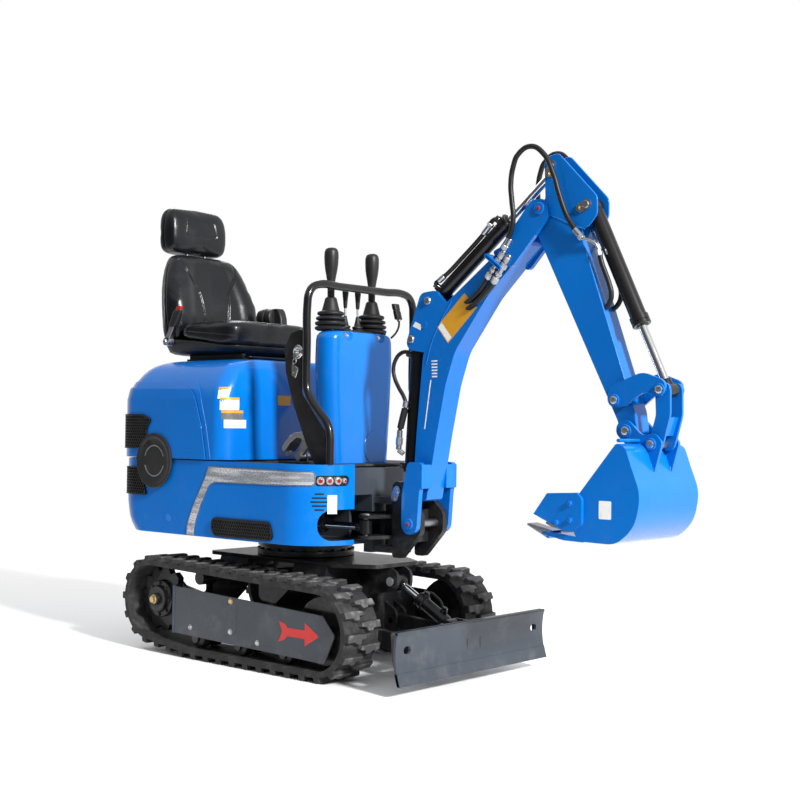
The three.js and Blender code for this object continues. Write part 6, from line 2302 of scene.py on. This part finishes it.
@dataclass
class Studio:
    """A pale floor, soft lights and the camera."""

    eye: Point = (3684, -3619, 891)
    turn: float = 41.52
    dip: float = -1.09
    roll: float = 0.7
    lens: float = 59.27
    wall: float = 1.0
    near: float = 0.10
    ceiling: float = 0.75

    def _floor(self) -> None:
        """A wide pale floor."""
        bpy.ops.object.select_all(action="DESELECT")
        bpy.ops.mesh.primitive_circle_add(vertices=96, radius=26, fill_type="NGON", location=(SLEW.x, 0, -0.001))
        floor = bpy.context.active_object
        floor.name = "studio_floor"
        s = Surface("studio_floor_paint")
        cloud = s.noise(0.6, 2)
        colour = s.mix(cloud, (0.93, 0.93, 0.93), (0.95, 0.95, 0.95))
        spread = s.radius().above(1.9, 4.5)
        floor.data.materials.append(s.shade(Base_Color=colour, Roughness=cloud * 0.1 + 0.6, Alpha=1 - spread))

    @staticmethod
    def _light(name: str, place: Point, aim: Point, size: float, power: float, colour: Point = (1, 1, 1)) -> None:
        """A square soft light.

        Args:
            name: its name.
            place: where it hangs, in metres.
            aim: where it points.
            size: its side.
            power: its power in watts.
            colour: its colour.
        """
        data = bpy.data.lights.new(name, "AREA")
        data.size, data.energy, data.color = size, power, colour
        lamp = bpy.data.objects.new(name, data)
        lamp.location = place
        lamp.rotation_euler = (Vector(aim) - Vector(place)).to_track_quat("-Z", "Y").to_euler()
        bpy.context.scene.collection.objects.link(lamp)

    def build(self) -> None:
        """Set up floor, lights, world and camera."""
        self._floor()
        self._light("key", (14.2, -3.0, 8.4), (0, 0, 0.8), 1.6, 4700)
        self._light("rim", (-4.5, 3.0, 5.5), (0, 0, 1.0), 2.5, 100)
        world = bpy.data.worlds.new("studio")
        world.use_nodes = True
        tree = world.node_tree
        way = tree.nodes.new("ShaderNodeTexCoord")
        split = tree.nodes.new("ShaderNodeSeparateXYZ")
        tree.links.new(way.outputs["Generated"], split.inputs[0])
        ranges = []
        for low, high in ((-0.75, 0.1), (0.32, 0.62)):
            node = tree.nodes.new("ShaderNodeMapRange")
            node.interpolation_type = "SMOOTHSTEP"
            node.inputs["From Min"].default_value, node.inputs["From Max"].default_value = low, high
            ranges.append(node)
        around, up = ranges
        around.inputs["To Min"].default_value, around.inputs["To Max"].default_value = self.near, self.wall
        up.inputs["To Max"].default_value = self.ceiling
        tree.links.new(split.outputs["Y"], around.inputs["Value"])
        tree.links.new(split.outputs["Z"], up.inputs["Value"])
        tree.links.new(around.outputs[0], up.inputs["To Min"])
        path, seen = tree.nodes.new("ShaderNodeLightPath"), tree.nodes.new("ShaderNodeMix")
        tree.links.new(path.outputs["Is Camera Ray"], seen.inputs["Factor"])
        tree.links.new(up.outputs[0], seen.inputs["A"])
        seen.inputs["B"].default_value = 1.0
        tree.links.new(seen.outputs[0], tree.nodes["Background"].inputs[1])
        tree.nodes["Background"].inputs[0].default_value = (1, 1, 1, 1)
        bpy.context.scene.world = world
        bpy.context.scene.view_settings.view_transform = "Standard"
        data = bpy.data.cameras.new("camera")
        data.lens, data.sensor_width = self.lens, 36
        camera = bpy.data.objects.new("camera", data)
        a, p, r = math.radians(self.turn), math.radians(self.dip), math.radians(self.roll)
        ahead = Vector((-math.sin(a) * math.cos(p), math.cos(a) * math.cos(p), -math.sin(p)))
        right = Vector((math.cos(a), math.sin(a), 0))
        up = right.cross(ahead)
        leaned = right * math.cos(r) + up * math.sin(r)
        above = up * math.cos(r) - right * math.sin(r)
        basis = Matrix((leaned, above, -ahead)).transposed().to_4x4()
        camera.matrix_world = Matrix.Translation(at(*self.eye)) @ basis
        bpy.context.scene.collection.objects.link(camera)
        bpy.context.scene.camera = camera


def main() -> None:
    """Build the machine, the studio and the camera."""
    logging.basicConfig(level=logging.INFO, format="%(message)s")
    for spare in ("Cube", "Light", "Camera"):
        if spare in bpy.data.objects:
            bpy.data.objects.remove(bpy.data.objects[spare])
    for side in Side:
        Belt(side).build()
        Running(side).build()
    Chassis().build()
    Blade().build()
    House().build()
    Station().build()
    Seat().build()
    SwingPost().build()
    Boom().build()
    Arm().build()
    Bucket().build()
    CrossingHoses().build()
    Studio().build()


if __name__ == "__main__":
    main()
